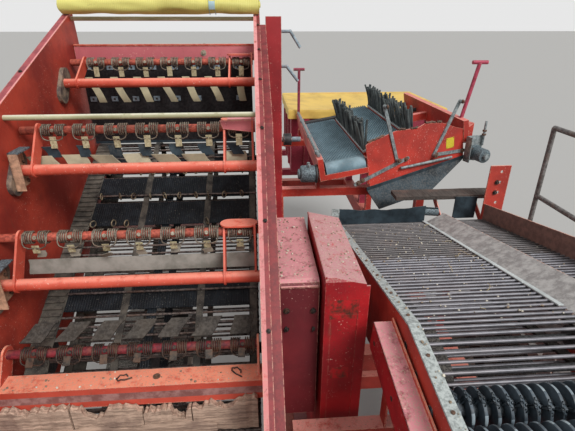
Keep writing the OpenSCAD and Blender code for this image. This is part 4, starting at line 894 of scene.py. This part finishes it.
class HARVESTER_OT_bolts(bpy.types.Operator):
    """Set the bolts, beam faces, end blocks, clamp plates and ring hooks of the elevator"""

    bl_idname = "harvester.bolts"
    bl_label = "Elevator bolts, clamps and hooks"

    def flange_bolts(self):
        """Small bolts along the left wall's flange, and hardly any on the right one."""
        places = []
        rows = ((ELEVATOR_LEFT + 0.024, -0.24, 0.272, 8), (ELEVATOR_RIGHT - 0.020, 0.30, 0.900, 2))
        for x, y0, pitch, count in rows:
            for k in range(count):
                y = y0 + pitch * k
                slope = math.degrees(math.atan(LOW_SLOPE if y < WALL_KINK[0] else UPPER_SLOPE))
                places.append(at(x, y, wall_top(y), (slope, 0, 20 * k)))
        strewn("flange_bolts", [(bolt(0.0062, 0.005, "bolt", 0.0085), places)])

    def beam_trim(self):
        """Washered bolts and two wire loops on the crossbeams, and the far beam's rose face."""
        heads = [at(-0.745, 1.8200, 2.8900), at(-0.860, 0.4150, 1.7900)]
        loop = []
        for a in range(9):
            turn = a * math.pi / 5
            loop.append((0.020 * math.cos(turn), 0.013 * math.sin(turn), 0.003 + 0.006 * (a % 2)))
        loop.append((0.034, -0.012, 0.003))
        loops = [at(-0.985, 0.412, 1.7905, (0, 0, 20)), at(-0.560, 0.418, 1.7905, (0, 0, -35))]
        strewn("beam_bolts", [(bolt(0.0075, 0.006, "nut", 0.014), heads),
                              (wear(wire(loop, 0.0028), "bolt"), loops)])
        # The face clamps the curtain, under an orange lip
        face = wear(block((0.996, 0.0075, 0.082), (-0.960, 1.7785, 2.850), 0.001), "far_beam")
        lip = wear(block((0.996, 0.0120, 0.010), (-0.960, 1.7765, 2.893), 0.002), "beam")
        head = bolt(0.0085, 0.007, "clip_bolt", 0.016)
        head.matrix_world = at(-0.748, 1.7748, 2.850, (90, 0, 10))
        strewn("beam_face", [(joined([face, lip, head]), AS_MADE)])

    def adjuster_plate(self):
        """The middle row's adjuster has a rose plate folded down towards the front."""
        lug = wear(block((0.150, 0.004, 0.052), (-0.538, 0.9880, 2.603), 0.001), "far_beam")
        picked(lug, "VERT", lambda place, normal: place.z < 0 and place.x < -0.05)
        bpy.ops.transform.translate(value=(0.012, 0, 0.016))
        left_edit()
        top = wear(block((0.118, 0.040, 0.004), (-0.522, 1.006, 2.6325), 0.001), "far_beam")
        strewn("adjuster_plate", [(joined([lug, top]), AS_MADE)])

    def end_blocks(self):
        """Blocks of angle steel hold the tubes' right ends."""
        parts = []
        wall = ELEVATOR_RIGHT
        for y, z in TUBES:
            sides = (((0.006, 0.100, 0.160), (wall + 0.024, y - 0.004, z + 0.008), "end_steel"),
                     ((0.044, 0.100, 0.006), (wall + 0.043, y - 0.004, z + 0.085), "cast"),
                     ((0.038, 0.006, 0.160), (wall + 0.040, y - 0.051, z + 0.008), "end_steel"))
            parts += [wear(block(size, place, 0.001), finish) for size, place, finish in sides]
            for j, (along, up) in enumerate(((-0.030, 0.030), (0.030, 0.030), (0.030, -0.052))):
                nut = drum(0.0085, 0.010, (wall + 0.032, y + along, z + up), "X", 4 if j else 6, 0.001)
                parts.append(wear(nut, "nut"))
        strewn("end_blocks", [(joined(parts), AS_MADE)])

    def curtain_clamps(self):
        """Plates that clamp the rubber curtain in two rows."""
        plate = wear(block((0.036, 0.005, 0.028), (0, -0.0025, 0), 0.0012), "curtain_plate")
        rivet = wear(drum(0.006, 0.006, (0, -0.005, 0), "Y", 8, 0.001), "bolt")
        clamp = joined([plate, rivet])
        curtain_y, rows = 1.784, (2.60, 2.775)
        places = [at(ELEVATOR_RIGHT + 0.055 + 0.121 * k, curtain_y, z, (0, 0, 1.5 * (k % 3 - 1)))
                  for k in range(8) for z in rows]
        strewn("curtain_clamps", [(clamp, places)])

    def web_hooks(self):
        """Ring hooks on thin rods between the panel rows, some of them lost."""
        radius, turns = 0.017, [a * math.pi / 6 for a in range(12)]
        ring = [(0, radius * math.cos(turn), radius * math.sin(turn)) for turn in turns]
        hook = wear(wire(ring, 0.0036, closed=True), "hook")
        spots = []
        chance = random.Random(4)
        for y in (1.222, 1.392, 1.564):
            for k in range(10):
                if chance.random() < 0.7:
                    x = ELEVATOR_RIGHT + 0.15 + 0.083 * k + chance.uniform(-0.012, 0.012)
                    along = y + chance.uniform(-0.006, 0.006)
                    turn = (chance.uniform(-25, 25), 0, chance.uniform(-40, 40))
                    spots.append(at(x, along, web_top(y) + 0.012, turn))
        strewn("web_hooks", [(hook, spots)])

    def execute(self, context):
        self.flange_bolts()
        self.beam_trim()
        self.adjuster_plate()
        self.end_blocks()
        self.curtain_clamps()
        self.web_hooks()
        return {"FINISHED"}


class HARVESTER_OT_covers(bpy.types.Operator):
    """Roll up the elevator's sheet, tie it, and drape the hopper's cover"""

    bl_idname = "harvester.covers"
    bl_label = "Rolled sheet and hopper cover"

    def grid(self, across, along, place_of):
        """A flat grid whose every point is laid where place_of says, from its u and v between 0 and 1."""
        clear()
        bpy.ops.mesh.primitive_grid_add(x_subdivisions=across, y_subdivisions=along, size=1.0)
        piece = bpy.context.active_object
        for spot in piece.data.vertices:
            spot.co = place_of(spot.co.x + 0.5, spot.co.y + 0.5)
        return piece

    def roll(self, turns):
        """The elevator's sheet rolled loosely on the tube at its top, with the woven strap that ties it."""
        low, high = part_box("tarp_roll")
        middle_y, middle_z = (low[1] + high[1]) / 2, (low[2] + high[2]) / 2
        width, outer = high[0] - low[0], (high[2] - low[2]) / 2
        inner = outer * 0.42

        def rolled(u, v):
            a = 2 * math.pi * turns * v
            r = inner + (outer - inner) * v
            loose = 0.0022 * math.sin(9 * u + 3 * a) + 0.0016 * math.sin(31 * u + a)
            loose += 0.0014 * math.sin(5 * a + 2 * math.sin(6 * u))
            slip = 0.012 * math.sin(a * 0.7 + 1) * (1 - v)
            r = min(r + loose * (0.4 + v), outer - 0.0008)
            x = low[0] + width * u + slip * (u - 0.5) * 2
            return (x, middle_y - r * math.cos(a - 0.6), middle_z + r * math.sin(a - 0.6))

        sheet = self.grid(64, int(26 * turns), rolled)
        tuned(sheet, "SOLIDIFY", thickness=0.0014, offset=-1.0)
        smooth(wear(sheet, "yellow_roll"), 60)
        settled(sheet, "rolled_sheet")
        # The strap is pulled tight
        strap = drum(outer + 0.0012, 0.030, axis="X", sides=28)
        opened(strap, lambda place, normal: abs(normal.x) > 0.5)
        tuned(strap, "SOLIDIFY", thickness=0.0018, offset=1.0)
        smooth(wear(strap, "strap"))
        straps = strewn("roll_straps", [(strap, [at(-0.682, middle_y, middle_z)])])
        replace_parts(sheet, "tarp_roll")

    def cover(self, hang):
        """The hopper's cover: it sags inside the rims, wrinkles, and hangs over three of them."""
        low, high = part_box("hopper_sheet")
        rim_z = high[2] - 0.004
        half = (high[0] - low[0]) / 2 - 0.010
        middle_x = (high[0] + low[0]) / 2
        front, rear = low[1] + 0.010, high[1] - 0.004
        depth, deepest = rear - front, 0.050
        full_x, full_y = 2 * (half + hang), depth + hang

        def draped(u, v):
            x, y = (u - 0.5) * full_x, v * full_y - hang
            over_x, over_y = max(0.0, abs(x) - half), max(0.0, -y)
            inside_x, inside_y = min(abs(x), half), max(0.0, y)
            sag = 0.0
            if abs(x) < half:
                sag = deepest * math.sin(math.pi * (0.5 + 0.5 * (x / half))) ** 0.7
            sag *= math.sin(math.pi * min(1.0, inside_y / depth)) ** 0.6
            ridge = 0.006 * math.sin(7.5 * x + 2 * y) * (sag / deepest)
            ridge += 0.004 * math.sin(19 * x - 9 * y) * (sag / deepest)
            if over_y >= over_x:
                wave = 0.004 * math.sin(x * 23 + 1.0) * min(1.0, over_y / 0.05)
            else:
                wave = 0.004 * math.sin(y * 21) * min(1.0, over_x / 0.05)
            out_x = math.copysign(min(0.010, over_x) + (wave if over_x > over_y else 0.0), x)
            out_y = -min(0.010, over_y) - (wave if over_y >= over_x and over_y else 0.0)
            lower = max(0.0, max(over_x, over_y) - 0.004)
            across = middle_x + math.copysign(inside_x, x) + out_x
            return (across, front + inside_y + out_y, rim_z - sag + ridge - lower)

        cover = self.grid(110, 84, draped)
        tuned(cover, "SOLIDIFY", thickness=0.0014, offset=-1.0)
        smooth(wear(cover, "yellow_cover"), 60)
        settled(cover, "hopper_cover")
        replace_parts(cover, "hopper_sheet")

    def execute(self, context):
        size = context.scene.harvester_covers
        self.roll(size.turns)
        self.cover(size.hang)
        return {"FINISHED"}


class HARVESTER_OT_boards(bpy.types.Operator):
    """Split the weathered boards under the near beam and lay the plank"""

    bl_idname = "harvester.boards"
    bl_label = "Weathered boards"

    def board(self, low, high, seed, finish, ragged=0.0):
        """One sawn board between two corners, its upper edge broken away."""
        size = [b - a for a, b in zip(low, high)]
        piece = subdivided(block(size, [(a + b) / 2 for a, b in zip(low, high)]), 20)
        chance = random.Random(seed)
        # Heights of the broken edge, from one step to the next along the board
        steps = [chance.uniform(-1, 0.0) ** 3 for _ in range(8)]
        for spot in piece.data.vertices:
            u = min(max(spot.co.x / size[0] + 0.5, 0.0), 1.0)
            spot.co.y += 0.0015 * math.sin(u * 11 + seed) + 0.001 * math.sin(u * 37)
            if ragged and spot.co.z > 0:
                share = spot.co.z / (size[2] / 2)
                step, part = divmod(u * 6.99, 1.0)
                here, after = steps[int(step)], steps[int(step) + 1]
                broken = here + (after - here) * part ** 0.5
                spot.co.z += ragged * share * (broken + 0.12 * math.sin(u * 83 + seed))
        tuned(piece, "BEVEL", width=0.0015, segments=1, limit_method="ANGLE", angle_limit=math.radians(60))
        return wear(piece, finish)

    def execute(self, context):
        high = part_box("elevator_boards")[1]
        x0, x1 = ELEVATOR_RIGHT + 0.020, ELEVATOR_LEFT - 0.020
        cuts = [x0, x0 + 0.27, x0 + 0.53, x0 + 0.71, x1]
        pieces = []
        for k in range(4):
            low_end = (cuts[k] + 0.002, 0.3405 + 0.003 * (k % 2), 1.572)
            high_end = (cuts[k + 1] - 0.002, 0.3690, 1.726 - 0.012 * (k % 3))
            pieces.append(self.board(low_end, high_end, k + 1, "board", 0.055))
        pieces.append(self.board((x0 + 0.05, 0.3385, 1.574), (x1 - 0.16, 0.3400, 1.640), 9, "board", 0.03))
        pieces.append(self.board((high[0] - 0.680, 1.702, 1.9355), (high[0], 1.828, 1.9630), 12, "plank"))
        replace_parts(settled(joined(pieces), "weathered_boards"), "elevator_boards")
        return {"FINISHED"}


class HARVESTER_OT_separator(bpy.types.Operator):
    """Stud the separator's belts, bend its fingers and fit its plate, tube and motors"""

    bl_idname = "harvester.separator"
    bl_label = "Separator studs, fingers and fittings"

    def studs(self, pitch):
        """Six-sided rubber studs in staggered rows, with a small flat tip."""
        clear()
        bpy.ops.mesh.primitive_cone_add(
            vertices=6, radius1=0.0062, radius2=0.0034, depth=0.008, location=(0, 0, 0.0035))
        # The studs wear the darker rubber: painted shade, so that they show as dots
        stud = wear(bpy.context.active_object, "stud_painted_shade")
        opened(stud, lambda place, normal: normal.z < -0.5)
        picked(stud, "FACE", lambda place, normal: normal.z > 0.9)
        bpy.ops.mesh.inset(thickness=0.0008)
        bpy.ops.transform.translate(value=(0, 0, 0.0008))
        left_edit()
        places = []
        for x0, y0, length in SEPARATOR_BELTS:
            for j in range(int(length / pitch)):
                for i in range(int(BELT_WIDTH / pitch)):
                    x = x0 + 0.010 + pitch * (i + 0.5 * (j % 2))
                    places.append(SEPARATOR @ at(x, y0 + pitch * j, 0.0))
        strewn("belt_studs", [(stud, places)])

    def fingers(self, reach, pitch, chance):
        """Rubber fingers of five bends, flattened to their tips, in two staggered rows a comb."""
        fingers, kinds, joints = [], 5, 5
        for kind in range(kinds):
            bend, height = chance.uniform(-0.020, 0.020), reach * chance.uniform(0.90, 1.06)
            points = []
            for k in range(joints + 1):
                x = bend * (k / joints) ** 2 + chance.uniform(-0.0015, 0.0015)
                points.append((x, chance.uniform(-0.001, 0.001), height * k / joints))
            finger = wire(points, 0.0085, 8)
            for spot in finger.data.vertices:
                share = min(1.0, max(0.0, spot.co.z / height))
                spot.co.y *= 1.0 - 0.28 * share
            fingers.append(smooth(wear(finger, "comb"), 50))
        spots = [[] for _ in fingers]
        for x0, y0, length in COMBS:
            for k in range(int((length - 0.020) / pitch) + 1):
                for row in (0, 1):
                    y = y0 + 0.012 + pitch * (k + 0.5 * row)
                    if y < y0 + length - 0.012:
                        kind = chance.randrange(kinds)
                        turn = (chance.uniform(-5, 5), chance.uniform(-6, 6), chance.choice((0, 180)))
                        spots[kind].append(SEPARATOR @ at(x0 - 0.001 + 0.016 * row, y, 0.012, turn))
        rails = []
        for x0, y0, length in COMBS:
            rail = block((0.032, length, 0.016), (x0 + 0.007, y0 + length / 2, 0.008), 0.002)
            rails.append(wear(rail, "strip"))
        pieces = list(zip(fingers, spots)) + [(joined(rails), [SEPARATOR])]
        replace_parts(strewn("comb_fingers", pieces), "finger_combs")

    def board_trim(self, chance):
        """On the front board: a blank yellow plate with rivets, torn black edging, bolts through links."""
        plate = wear(block((0.072, 0.0016, 0.078), (0, -0.0011, 0), 0.0006), "yellow_plate")
        rivets = [wear(drum(0.0032, 0.003, (x, -0.0020, z), "Y", 8, 0.0008), "bolt")
                  for x in (-0.030, 0.030) for z in (-0.033, 0.033)]
        strewn("blank_plate", [(joined([plate] + rivets), [BOARD @ at(0.712, 0, 0.150, (0, 3, 0))])])
        # Lengths of edging that are left, each from one place on the board's top edge to another
        left = (((0.020, 0.334), (0.150, 0.350)), ((0.270, 0.360), (0.330, 0.352)),
                ((0.372, 0.341), (0.432, 0.337)), ((0.500, 0.353), (0.585, 0.337)),
                ((0.600, 0.334), (0.640, 0.324)))
        edging = []
        for (u0, w0), (u1, w1) in left:
            line = []
            for k in range(10):
                out = 0.003 + chance.uniform(-0.003, 0.003)
                up = w0 + (w1 - w0) * k / 9 + 0.004 + chance.uniform(-0.004, 0.003)
                line.append((u0 + (u1 - u0) * k / 9, out, up))
            edging.append(smooth(wear(wire(line, 0.0075, 8), "torn_edge")))
        strewn("torn_edging", [(joined(edging), [BOARD])])
        on_links = ((0.235, 0.153), (0.554, 0.101), (0.800, 0.439), (0.169, 0.549))
        on_board = ((-0.095, 0.078), (-0.060, 0.085), (0.310, 0.138), (0.575, 0.097), (0.815, 0.064))
        places = [BOARD @ at(u, -0.0345, w, (90, 0, 20 * k)) for k, (u, w) in enumerate(on_links)]
        places += [BOARD @ at(u, -0.0110, w, (90, 0, 0)) for u, w in on_board]
        strewn("link_bolts", [(bolt(0.011, 0.009, "nut", 0.018), places)])

    def rail_tube(self):
        """Grey tube along one rail, its near end open, held by three clamps."""
        tube = wear(drum(0.0125, 1.560, (-0.026, 0.830, 0.0530), "Y", 16, 0.001), "galvanised")
        picked(tube, "FACE", lambda place, normal: normal.y < -0.9)
        bpy.ops.mesh.inset(thickness=0.003)
        bpy.ops.mesh.extrude_region_move(TRANSFORM_OT_translate={"value": (0, 0.03, 0)})
        left_edit()
        clamps = [wear(block((0.036, 0.026, 0.030), (-0.026, y, 0.052), 0.003), "galvanised")
                  for y in (0.14, 0.62, 1.20)]
        strewn("rail_tube", [(joined([smooth(tube)] + clamps), [SEPARATOR])])

    def motors(self):
        """Two motors, named by their side in the photo: one with bracket and gusset, one on a corner."""
        axle_x, axle_z, studs_r = 0.012, -0.035, 0.046
        parts = [wear(block((0.150, 0.008, 0.190), edge=0.002), "galvanised"),
                 wear(block((0.008, 0.060, 0.190), (-0.071, -0.030, 0), 0.002), "galvanised"),
                 wear(drum(0.052, 0.120, (axle_x, -0.060, axle_z), "Y", 28, 0.006), "cast"),
                 wear(drum(0.060, 0.016, (axle_x, -0.010, axle_z), "Y", 28, 0.002), "cast"),
                 wear(drum(0.024, 0.030, (axle_x, -0.130, axle_z), "Y", 16, 0.003), "galvanised"),
                 wear(drum(0.009, 0.180, (0.062, -0.016, 0.110), "Z", 12, 0.001), "galvanised"),
                 wear(drum(0.016, 0.012, (0.062, -0.016, 0.130), "Z", 6, 0.001), "nut"),
                 wear(drum(0.016, 0.012, (0.062, -0.016, 0.102), "Z", 6, 0.001), "nut")]
        for a in (0.8, 2.4, 3.9, 5.5):
            place = (axle_x + studs_r * math.cos(a), -0.022, axle_z + studs_r * math.sin(a))
            parts.append(wear(drum(0.009, 0.010, place, "Y", 6, 0.001), "nut"))
        strewn("right_motor", [(smooth(joined(parts)), [at(1.172, 2.196, 2.145, (0, 0, 14))])])
        gusset = wear(block((0.110, 0.070, 0.150), edge=0.003), "separator")
        picked(gusset, "VERT", lambda place, normal: place.z > 0.05 and place.x < -0.02)
        bpy.ops.transform.translate(value=(0, 0, -0.070))
        left_edit()
        strewn("motor_gusset", [(gusset, [at(1.110, 2.262, 2.250, (0, 0, 14))])])
        parts = [wear(drum(0.060, 0.105, (-0.065, 0, 0), "X", 28, 0.012), "cast"),
                 wear(drum(0.066, 0.014, (-0.007, 0, 0), "X", 28, 0.003), "black_cast"),
                 wear(drum(0.036, 0.020, (-0.125, 0, 0), "X", 20, 0.006), "cast")]
        for y in (-0.022, 0.022):
            parts.append(wear(drum(0.012, 0.030, (-0.060, y, 0.062), "Z", 6, 0.002), "galvanised"))
        strewn("left_motor", [(smooth(joined(parts)), [at(-0.047, 1.985, 2.040)])])

    def execute(self, context):
        size = context.scene.harvester_separator
        chance = random.Random(6)
        self.studs(size.stud_pitch)
        self.fingers(size.finger, size.finger_pitch, chance)
        self.board_trim(chance)
        self.rail_tube()
        self.motors()
        return {"FINISHED"}


class HARVESTER_OT_middle(bpy.types.Operator):
    """Fit the bolts, rolled edges and seams of the hood, the chute box and the table"""

    bl_idname = "harvester.middle"
    bl_label = "Hood, box and table fittings"

    def hood_and_box(self):
        """Bolts on the hood's front, the hood's rolled near edge and the box's top edge beside it."""
        corners = ((-0.366, 2.033), (-0.266, 2.030), (-0.367, 1.949), (-0.266, 1.945))
        heads = [at(x, 0.4598, z, (90, 0, 25 * k)) for k, (x, z) in enumerate(corners)]
        strewn("hood_bolts", [(bolt(0.009, 0.007, "bolt", 0.013), heads)])
        rims = [wear(wire([(-0.385, 0.461, 2.1345), (-0.250, 0.461, 2.1345)], 0.006, 8), "hood"),
                wear(wire([(-0.2325, 0.405, 2.2060), (-0.2325, 0.945, 2.2110)], 0.005, 8), "box")]
        strewn("rolled_rims", [(smooth(joined(rims)), AS_MADE)])

    def seal_and_channel(self):
        """Rivets along the table's seal, and a channel bolted beside the discs: rose top, orange lip."""
        rivet = wear(drum(0.006, 0.005, (0, 0, 0.002), "Z", 10, 0.0015), "nut")
        rows = [-0.26 + 0.175 * k for k in range(11)]
        strewn("seal_rivets", [(rivet, [at(0.015, y, table_top(y) + 0.0281) for y in rows])])
        length = 0.640
        parts = [wear(block((0.0680, length, 0.004), (-0.0420, 0, 0), 0.001), "hood"),
                 wear(block((0.0040, length, 0.124), (-0.0740, 0, -0.060), 0.001), "box"),
                 wear(block((0.0680, length, 0.004), (-0.0420, 0, -0.120), 0.001), "box"),
                 wear(block((0.0060, length, 0.020), (-0.0110, 0, 0.008), 0.001), "beam")]
        for y in (-0.24, 0.07, 0.28):
            parts.append(wear(drum(0.009, 0.078, (-0.0385, y, -0.060), "X", 6, 0.001), "bolt"))
        lie = at(0, 0.010, 2.0300, (math.degrees(math.atan(DISC_FALL)), 0, 0))
        strewn("table_channel", [(joined(parts), [lie])])

    def apron(self):
        """Black rubber apron across the web's far end, bolted to the plates' ends, sagging between them."""
        width, height = 0.612, 0.200
        apron = subdivided(block((width, 0.006, height), (width / 2, 1.6055, 1.835)), 16)
        for spot in apron.data.vertices:
            share = spot.co.z / height + 0.5
            inside = max(0.0, math.cos(math.pi * spot.co.x / width))
            billow = 0.5 + 0.5 * math.sin(spot.co.x * 17 + 2 * share)
            spot.co.y += 0.012 * inside * billow + 0.001
            spot.co.z -= 0.022 * share * inside + 0.004 * math.sin(spot.co.x * 41) * inside
        strewn("web_apron", [(smooth(wear(apron, "black_flap"), 50), AS_MADE)])

    def edge_strip(self):
        """A gritty rubber strip along the web's edge beside the partition, in butted lengths."""
        lengths, fall = [], math.atan(-TABLE_FALL)
        for k in range(6):
            y = 0.430 + 0.205 * k
            strip = block((0.020, 0.203, 0.006), (0.588, y, table_top(y) + 0.0038), 0.0015, (fall, 0, 0))
            lengths.append(wear(strip, "strip"))
        strewn("web_edge_strip", [(joined(lengths), AS_MADE)])

    def plate_and_pipe(self):
        """Bolts on the drilled plate, and the open end of the pipe beside the partition."""
        heads = [at(1.060, 1.6195, z, (90, 0, 15)) for z in (1.80, 1.87, 2.01, 2.08)]
        strewn("plate_bolts", [(bolt(0.012, 0.009, "bolt", 0.016), heads)])
        pipe = opened(drum(0.028, 0.100, axis="X", sides=24), lambda place, normal: abs(normal.x) > 0.9)
        tuned(pipe, "SOLIDIFY", thickness=0.004, offset=-1.0)
        strewn("open_pipe", [(smooth(wear(pipe, "cast")), [at(0.660, 1.640, 1.880, (0, 0, -12))])])

    def execute(self, context):
        self.hood_and_box()
        self.seal_and_channel()
        self.apron()
        self.edge_strip()
        self.plate_and_pipe()
        return {"FINISHED"}


class HARVESTER_OT_discs(bpy.types.Operator):
    """Stack the disc rollers: wavy lobed rubber discs with grey spacers between them"""

    bl_idname = "harvester.discs"
    bl_label = "Lobed disc rollers"

    def disc(self):
        """One disc around X: four rounded lobes, its rim swelling to both sides, its arrises brighter as
        painted highlight and wear.
        """
        radius, hub = 0.058, 0.030
        piece = drum(radius, 0.0095, axis="X", sides=48, edge=0.0017)
        picked(piece, "FACE", lambda place, normal: abs(normal.x) > 0.9)
        bpy.ops.mesh.inset(thickness=0.008)
        bpy.ops.mesh.inset(thickness=0.014)
        left_edit()
        for spot in piece.data.vertices:
            turn, out = math.atan2(spot.co.z, spot.co.y), math.hypot(spot.co.y, spot.co.z)
            share = max(0.0, (out - hub) / (radius - hub))
            lobe = 1.0 - 0.24 * share * (0.5 - 0.5 * math.cos(4 * turn)) ** 0.8
            spot.co.y *= lobe
            spot.co.z *= lobe
            spot.co.x = spot.co.x * (1.0 + 0.1 * share) + 0.0055 * share * math.sin(4 * turn)
        wear(piece, "disc")
        piece.data.materials.append(FINISH["disc_edge_highlight_and_wear"])
        # Slanted faces near the rim take the paler rubber: painted highlight with wear
        for face in piece.data.polygons:
            highlit_worn_arris = 0.25 < abs(face.normal.x) < 0.93 and face.center.yz.length > 0.040
            face.material_index = 1 if highlit_worn_arris else 0
        return smooth(piece, 35)

    def execute(self, context):
        y0, z, pitch = DISC_ROLLERS
        x0, step, count = DISCS
        for k in range(3):
            node = "disc_roller_%d" % (k + 1)
            low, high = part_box(node)
            y = y0 - pitch * k
            spots = [at(x0 + step * d, y, z, (7 * d + 40 * k, 0, 0)) for d in range(count)]
            gaps = [at(x0 + step * (d + 0.5), y, z) for d in range(count - 1)]
            spacer = drum(0.029, step - 0.011, axis="X", sides=24, edge=0.002)
            middle = ((low[0] + high[0]) / 2, y, z)
            core = drum(0.0150, high[0] - low[0], middle, "X", 20, 0.001)
            spacer, core = (smooth(wear(part, "spacer")) for part in (spacer, core))
            pieces = [(self.disc(), spots), (spacer, gaps), (core, AS_MADE)]
            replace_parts(strewn("lobed_roller_%d" % (k + 1), pieces, "roller_%d" % (k + 1)), node)
        return {"FINISHED"}


class HARVESTER_OT_soil(bpy.types.Operator):
    """Strew soil crumbs, paint chips and dry stalks where they come to rest"""

    bl_idname = "harvester.soil"
    bl_label = "Soil crumbs and chips"

    def crumb(self, finish, chance):
        """One lump of dry soil, or a flake of chaff, 4 mm in radius and uneven."""
        clear()
        bpy.ops.mesh.primitive_ico_sphere_add(subdivisions=1, radius=0.004)
        crumb = bpy.context.active_object
        for spot in crumb.data.vertices:
            spot.co *= chance.uniform(0.6, 1.2)
        return wear(crumb, finish)

    def stalk(self, chance):
        """A dry stalk of four crooked lengths, with its place on the web or the partition."""
        x, y = chance.uniform(0.30, 0.75), chance.uniform(0.35, 1.45)
        bends = [(0.0, 0.0, 0.0)]
        for _ in range(4):
            a, b, c = bends[-1]
            a, b = a + chance.uniform(0.004, 0.020), b + chance.uniform(-0.014, 0.014)
            bends.append((a, b, max(0.0, c + chance.uniform(-0.003, 0.004))))
        stalk = wear(wire(bends, 0.0011, 4), "stalk")
        return (stalk, [at(x, y, table_top(y) + 0.002, (0, 0, chance.uniform(0, 360)))])

    def execute(self, context):
        share = context.scene.harvester_soil.amount
        chance = random.Random(11)
        crumbs = [self.crumb(finish, chance) for finish in ("crumb", "crumb", "chip")]
        spots = [[], [], []]

        def lay(count, x0, x1, y0, y1, height, kinds=(0, 1, 2)):
            for _ in range(int(count * share)):
                x, y = chance.uniform(x0, x1), chance.uniform(y0, y1)
                scale = Matrix.Scale(chance.uniform(0.4, 1.5), 4)
                kind = chance.choice(kinds)
                turn = (chance.uniform(0, 90), 0, chance.uniform(0, 360))
                spots[kind].append(at(x, y, height(x, y), turn) @ scale)

        def box_top(x, y):
            return 2.208 - max(0.0, x + 0.2335) * math.tan(math.radians(13)) + 0.003

        # On the hood, the near beam, the far beam and the box
        lay(60, -0.385, -0.260, 0.49, 1.00, lambda x, y: 2.161)
        lay(40, -1.44, -0.48, 0.375, 0.452, lambda x, y: 1.7915)
        lay(40, -1.44, -0.48, 1.795, 1.845, lambda x, y: 2.8915)
        lay(90, -0.225, -0.095, 0.43, 0.93, box_top)
        # On the picking web, the trash web beside it and the seal
        lay(220, 0.06, 0.58, 0.25, 1.50, lambda x, y: table_top(y), (1, 2, 2))
        lay(60, 0.76, 0.98, 0.36, 1.50, lambda x, y: table_top(y) - 0.008, (1, 2))
        lay(60, 0.0, 0.034, -0.30, 1.55, lambda x, y: table_top(y) + 0.030)
        strewn("soil_crumbs", list(zip(crumbs, spots)))
        strewn("dry_stalks", [self.stalk(chance) for _ in range(14)])
        return {"FINISHED"}


class HARVESTER_OT_stage(bpy.types.Operator):
    """Lay the floor, and set the lights and the camera"""

    bl_idname = "harvester.stage"
    bl_label = "Stage"

    def even_light(self, scene, strength):
        """Light from all around, and a backdrop that the camera sees at its own brightness."""
        world = bpy.data.worlds.new("even_light")
        scene.world = world
        world.use_nodes = True
        tree = world.node_tree
        ground = tree.nodes["Background"]
        ground.inputs["Color"].default_value = (1.0, 1.0, 1.0, 1.0)
        seen = add(tree, "LightPath", "Is Camera Ray")
        level = add(tree, "MapRange", "Result", {"Value": seen, "To Min": strength, "To Max": 0.8})
        tree.links.new(level, ground.inputs["Strength"])

    def execute(self, context):
        light = context.scene.harvester_light
        clear()
        bpy.ops.mesh.primitive_plane_add(size=400.0, location=(0, 0, 0))
        floor = context.active_object
        floor.name = "floor"
        mat, _, shader, _ = begin("plain_floor", 0.9, specular=0.1)
        shader.inputs["Base Color"].default_value = tuple(light.floor_colour) + (1.0,)
        floor.data.materials.append(mat)
        self.even_light(context.scene, light.sky)
        bpy.ops.object.light_add(type="SUN", location=(0, 0, 8))
        lamp = context.active_object
        lamp.name = "main_light"
        lamp.data.energy = light.sun
        lamp.data.angle = math.radians(25)
        lamp.rotation_euler = (math.radians(38), math.radians(28), 0)
        bpy.ops.object.camera_add(location=light.eye, rotation=light.turn)
        camera = context.active_object
        camera.data.lens = light.lens
        camera.data.sensor_width = 36.0
        camera.data.clip_start = 0.02
        camera.data.clip_end = 500.0
        context.scene.camera = camera
        context.scene.view_settings.view_transform = "Standard"
        return {"FINISHED"}


OPERATORS = (
    HARVESTER_OT_finishes,
    HARVESTER_OT_springs,
    HARVESTER_OT_bolts,
    HARVESTER_OT_covers,
    HARVESTER_OT_boards,
    HARVESTER_OT_separator,
    HARVESTER_OT_middle,
    HARVESTER_OT_discs,
    HARVESTER_OT_soil,
    HARVESTER_OT_stage,
)
GROUPS_OF_SIZES = {
    "harvester_light": HarvesterLight,
    "harvester_strippers": HarvesterStrippers,
    "harvester_covers": HarvesterCovers,
    "harvester_separator": HarvesterSeparator,
    "harvester_soil": HarvesterSoil,
}


class HARVESTER_PT_panel(bpy.types.Panel):
    bl_label = "Potato Harvester"
    bl_idname = "HARVESTER_PT_panel"
    bl_space_type = "VIEW_3D"
    bl_region_type = "UI"
    bl_category = "Harvester"

    def draw(self, context):
        for name in GROUPS_OF_SIZES:
            group = getattr(context.scene, name)
            for key in group.bl_rna.properties.keys():
                if key not in ("rna_type", "name"):
                    self.layout.prop(group, key)
        for operator in OPERATORS:
            self.layout.operator(operator.bl_idname)


CLASSES = tuple(GROUPS_OF_SIZES.values()) + OPERATORS + (HARVESTER_PT_panel,)


def register():
    for item in CLASSES:
        bpy.utils.register_class(item)
    for name, group in GROUPS_OF_SIZES.items():
        setattr(bpy.types.Scene, name, bpy.props.PointerProperty(type=group))


def unregister():
    for name in GROUPS_OF_SIZES:
        delattr(bpy.types.Scene, name)
    for item in reversed(CLASSES):
        bpy.utils.unregister_class(item)


def main():
    register()
    for operator in OPERATORS:
        group, name = operator.bl_idname.split(".")
        getattr(getattr(bpy.ops, group), name)()


if __name__ == "__main__":
    main()
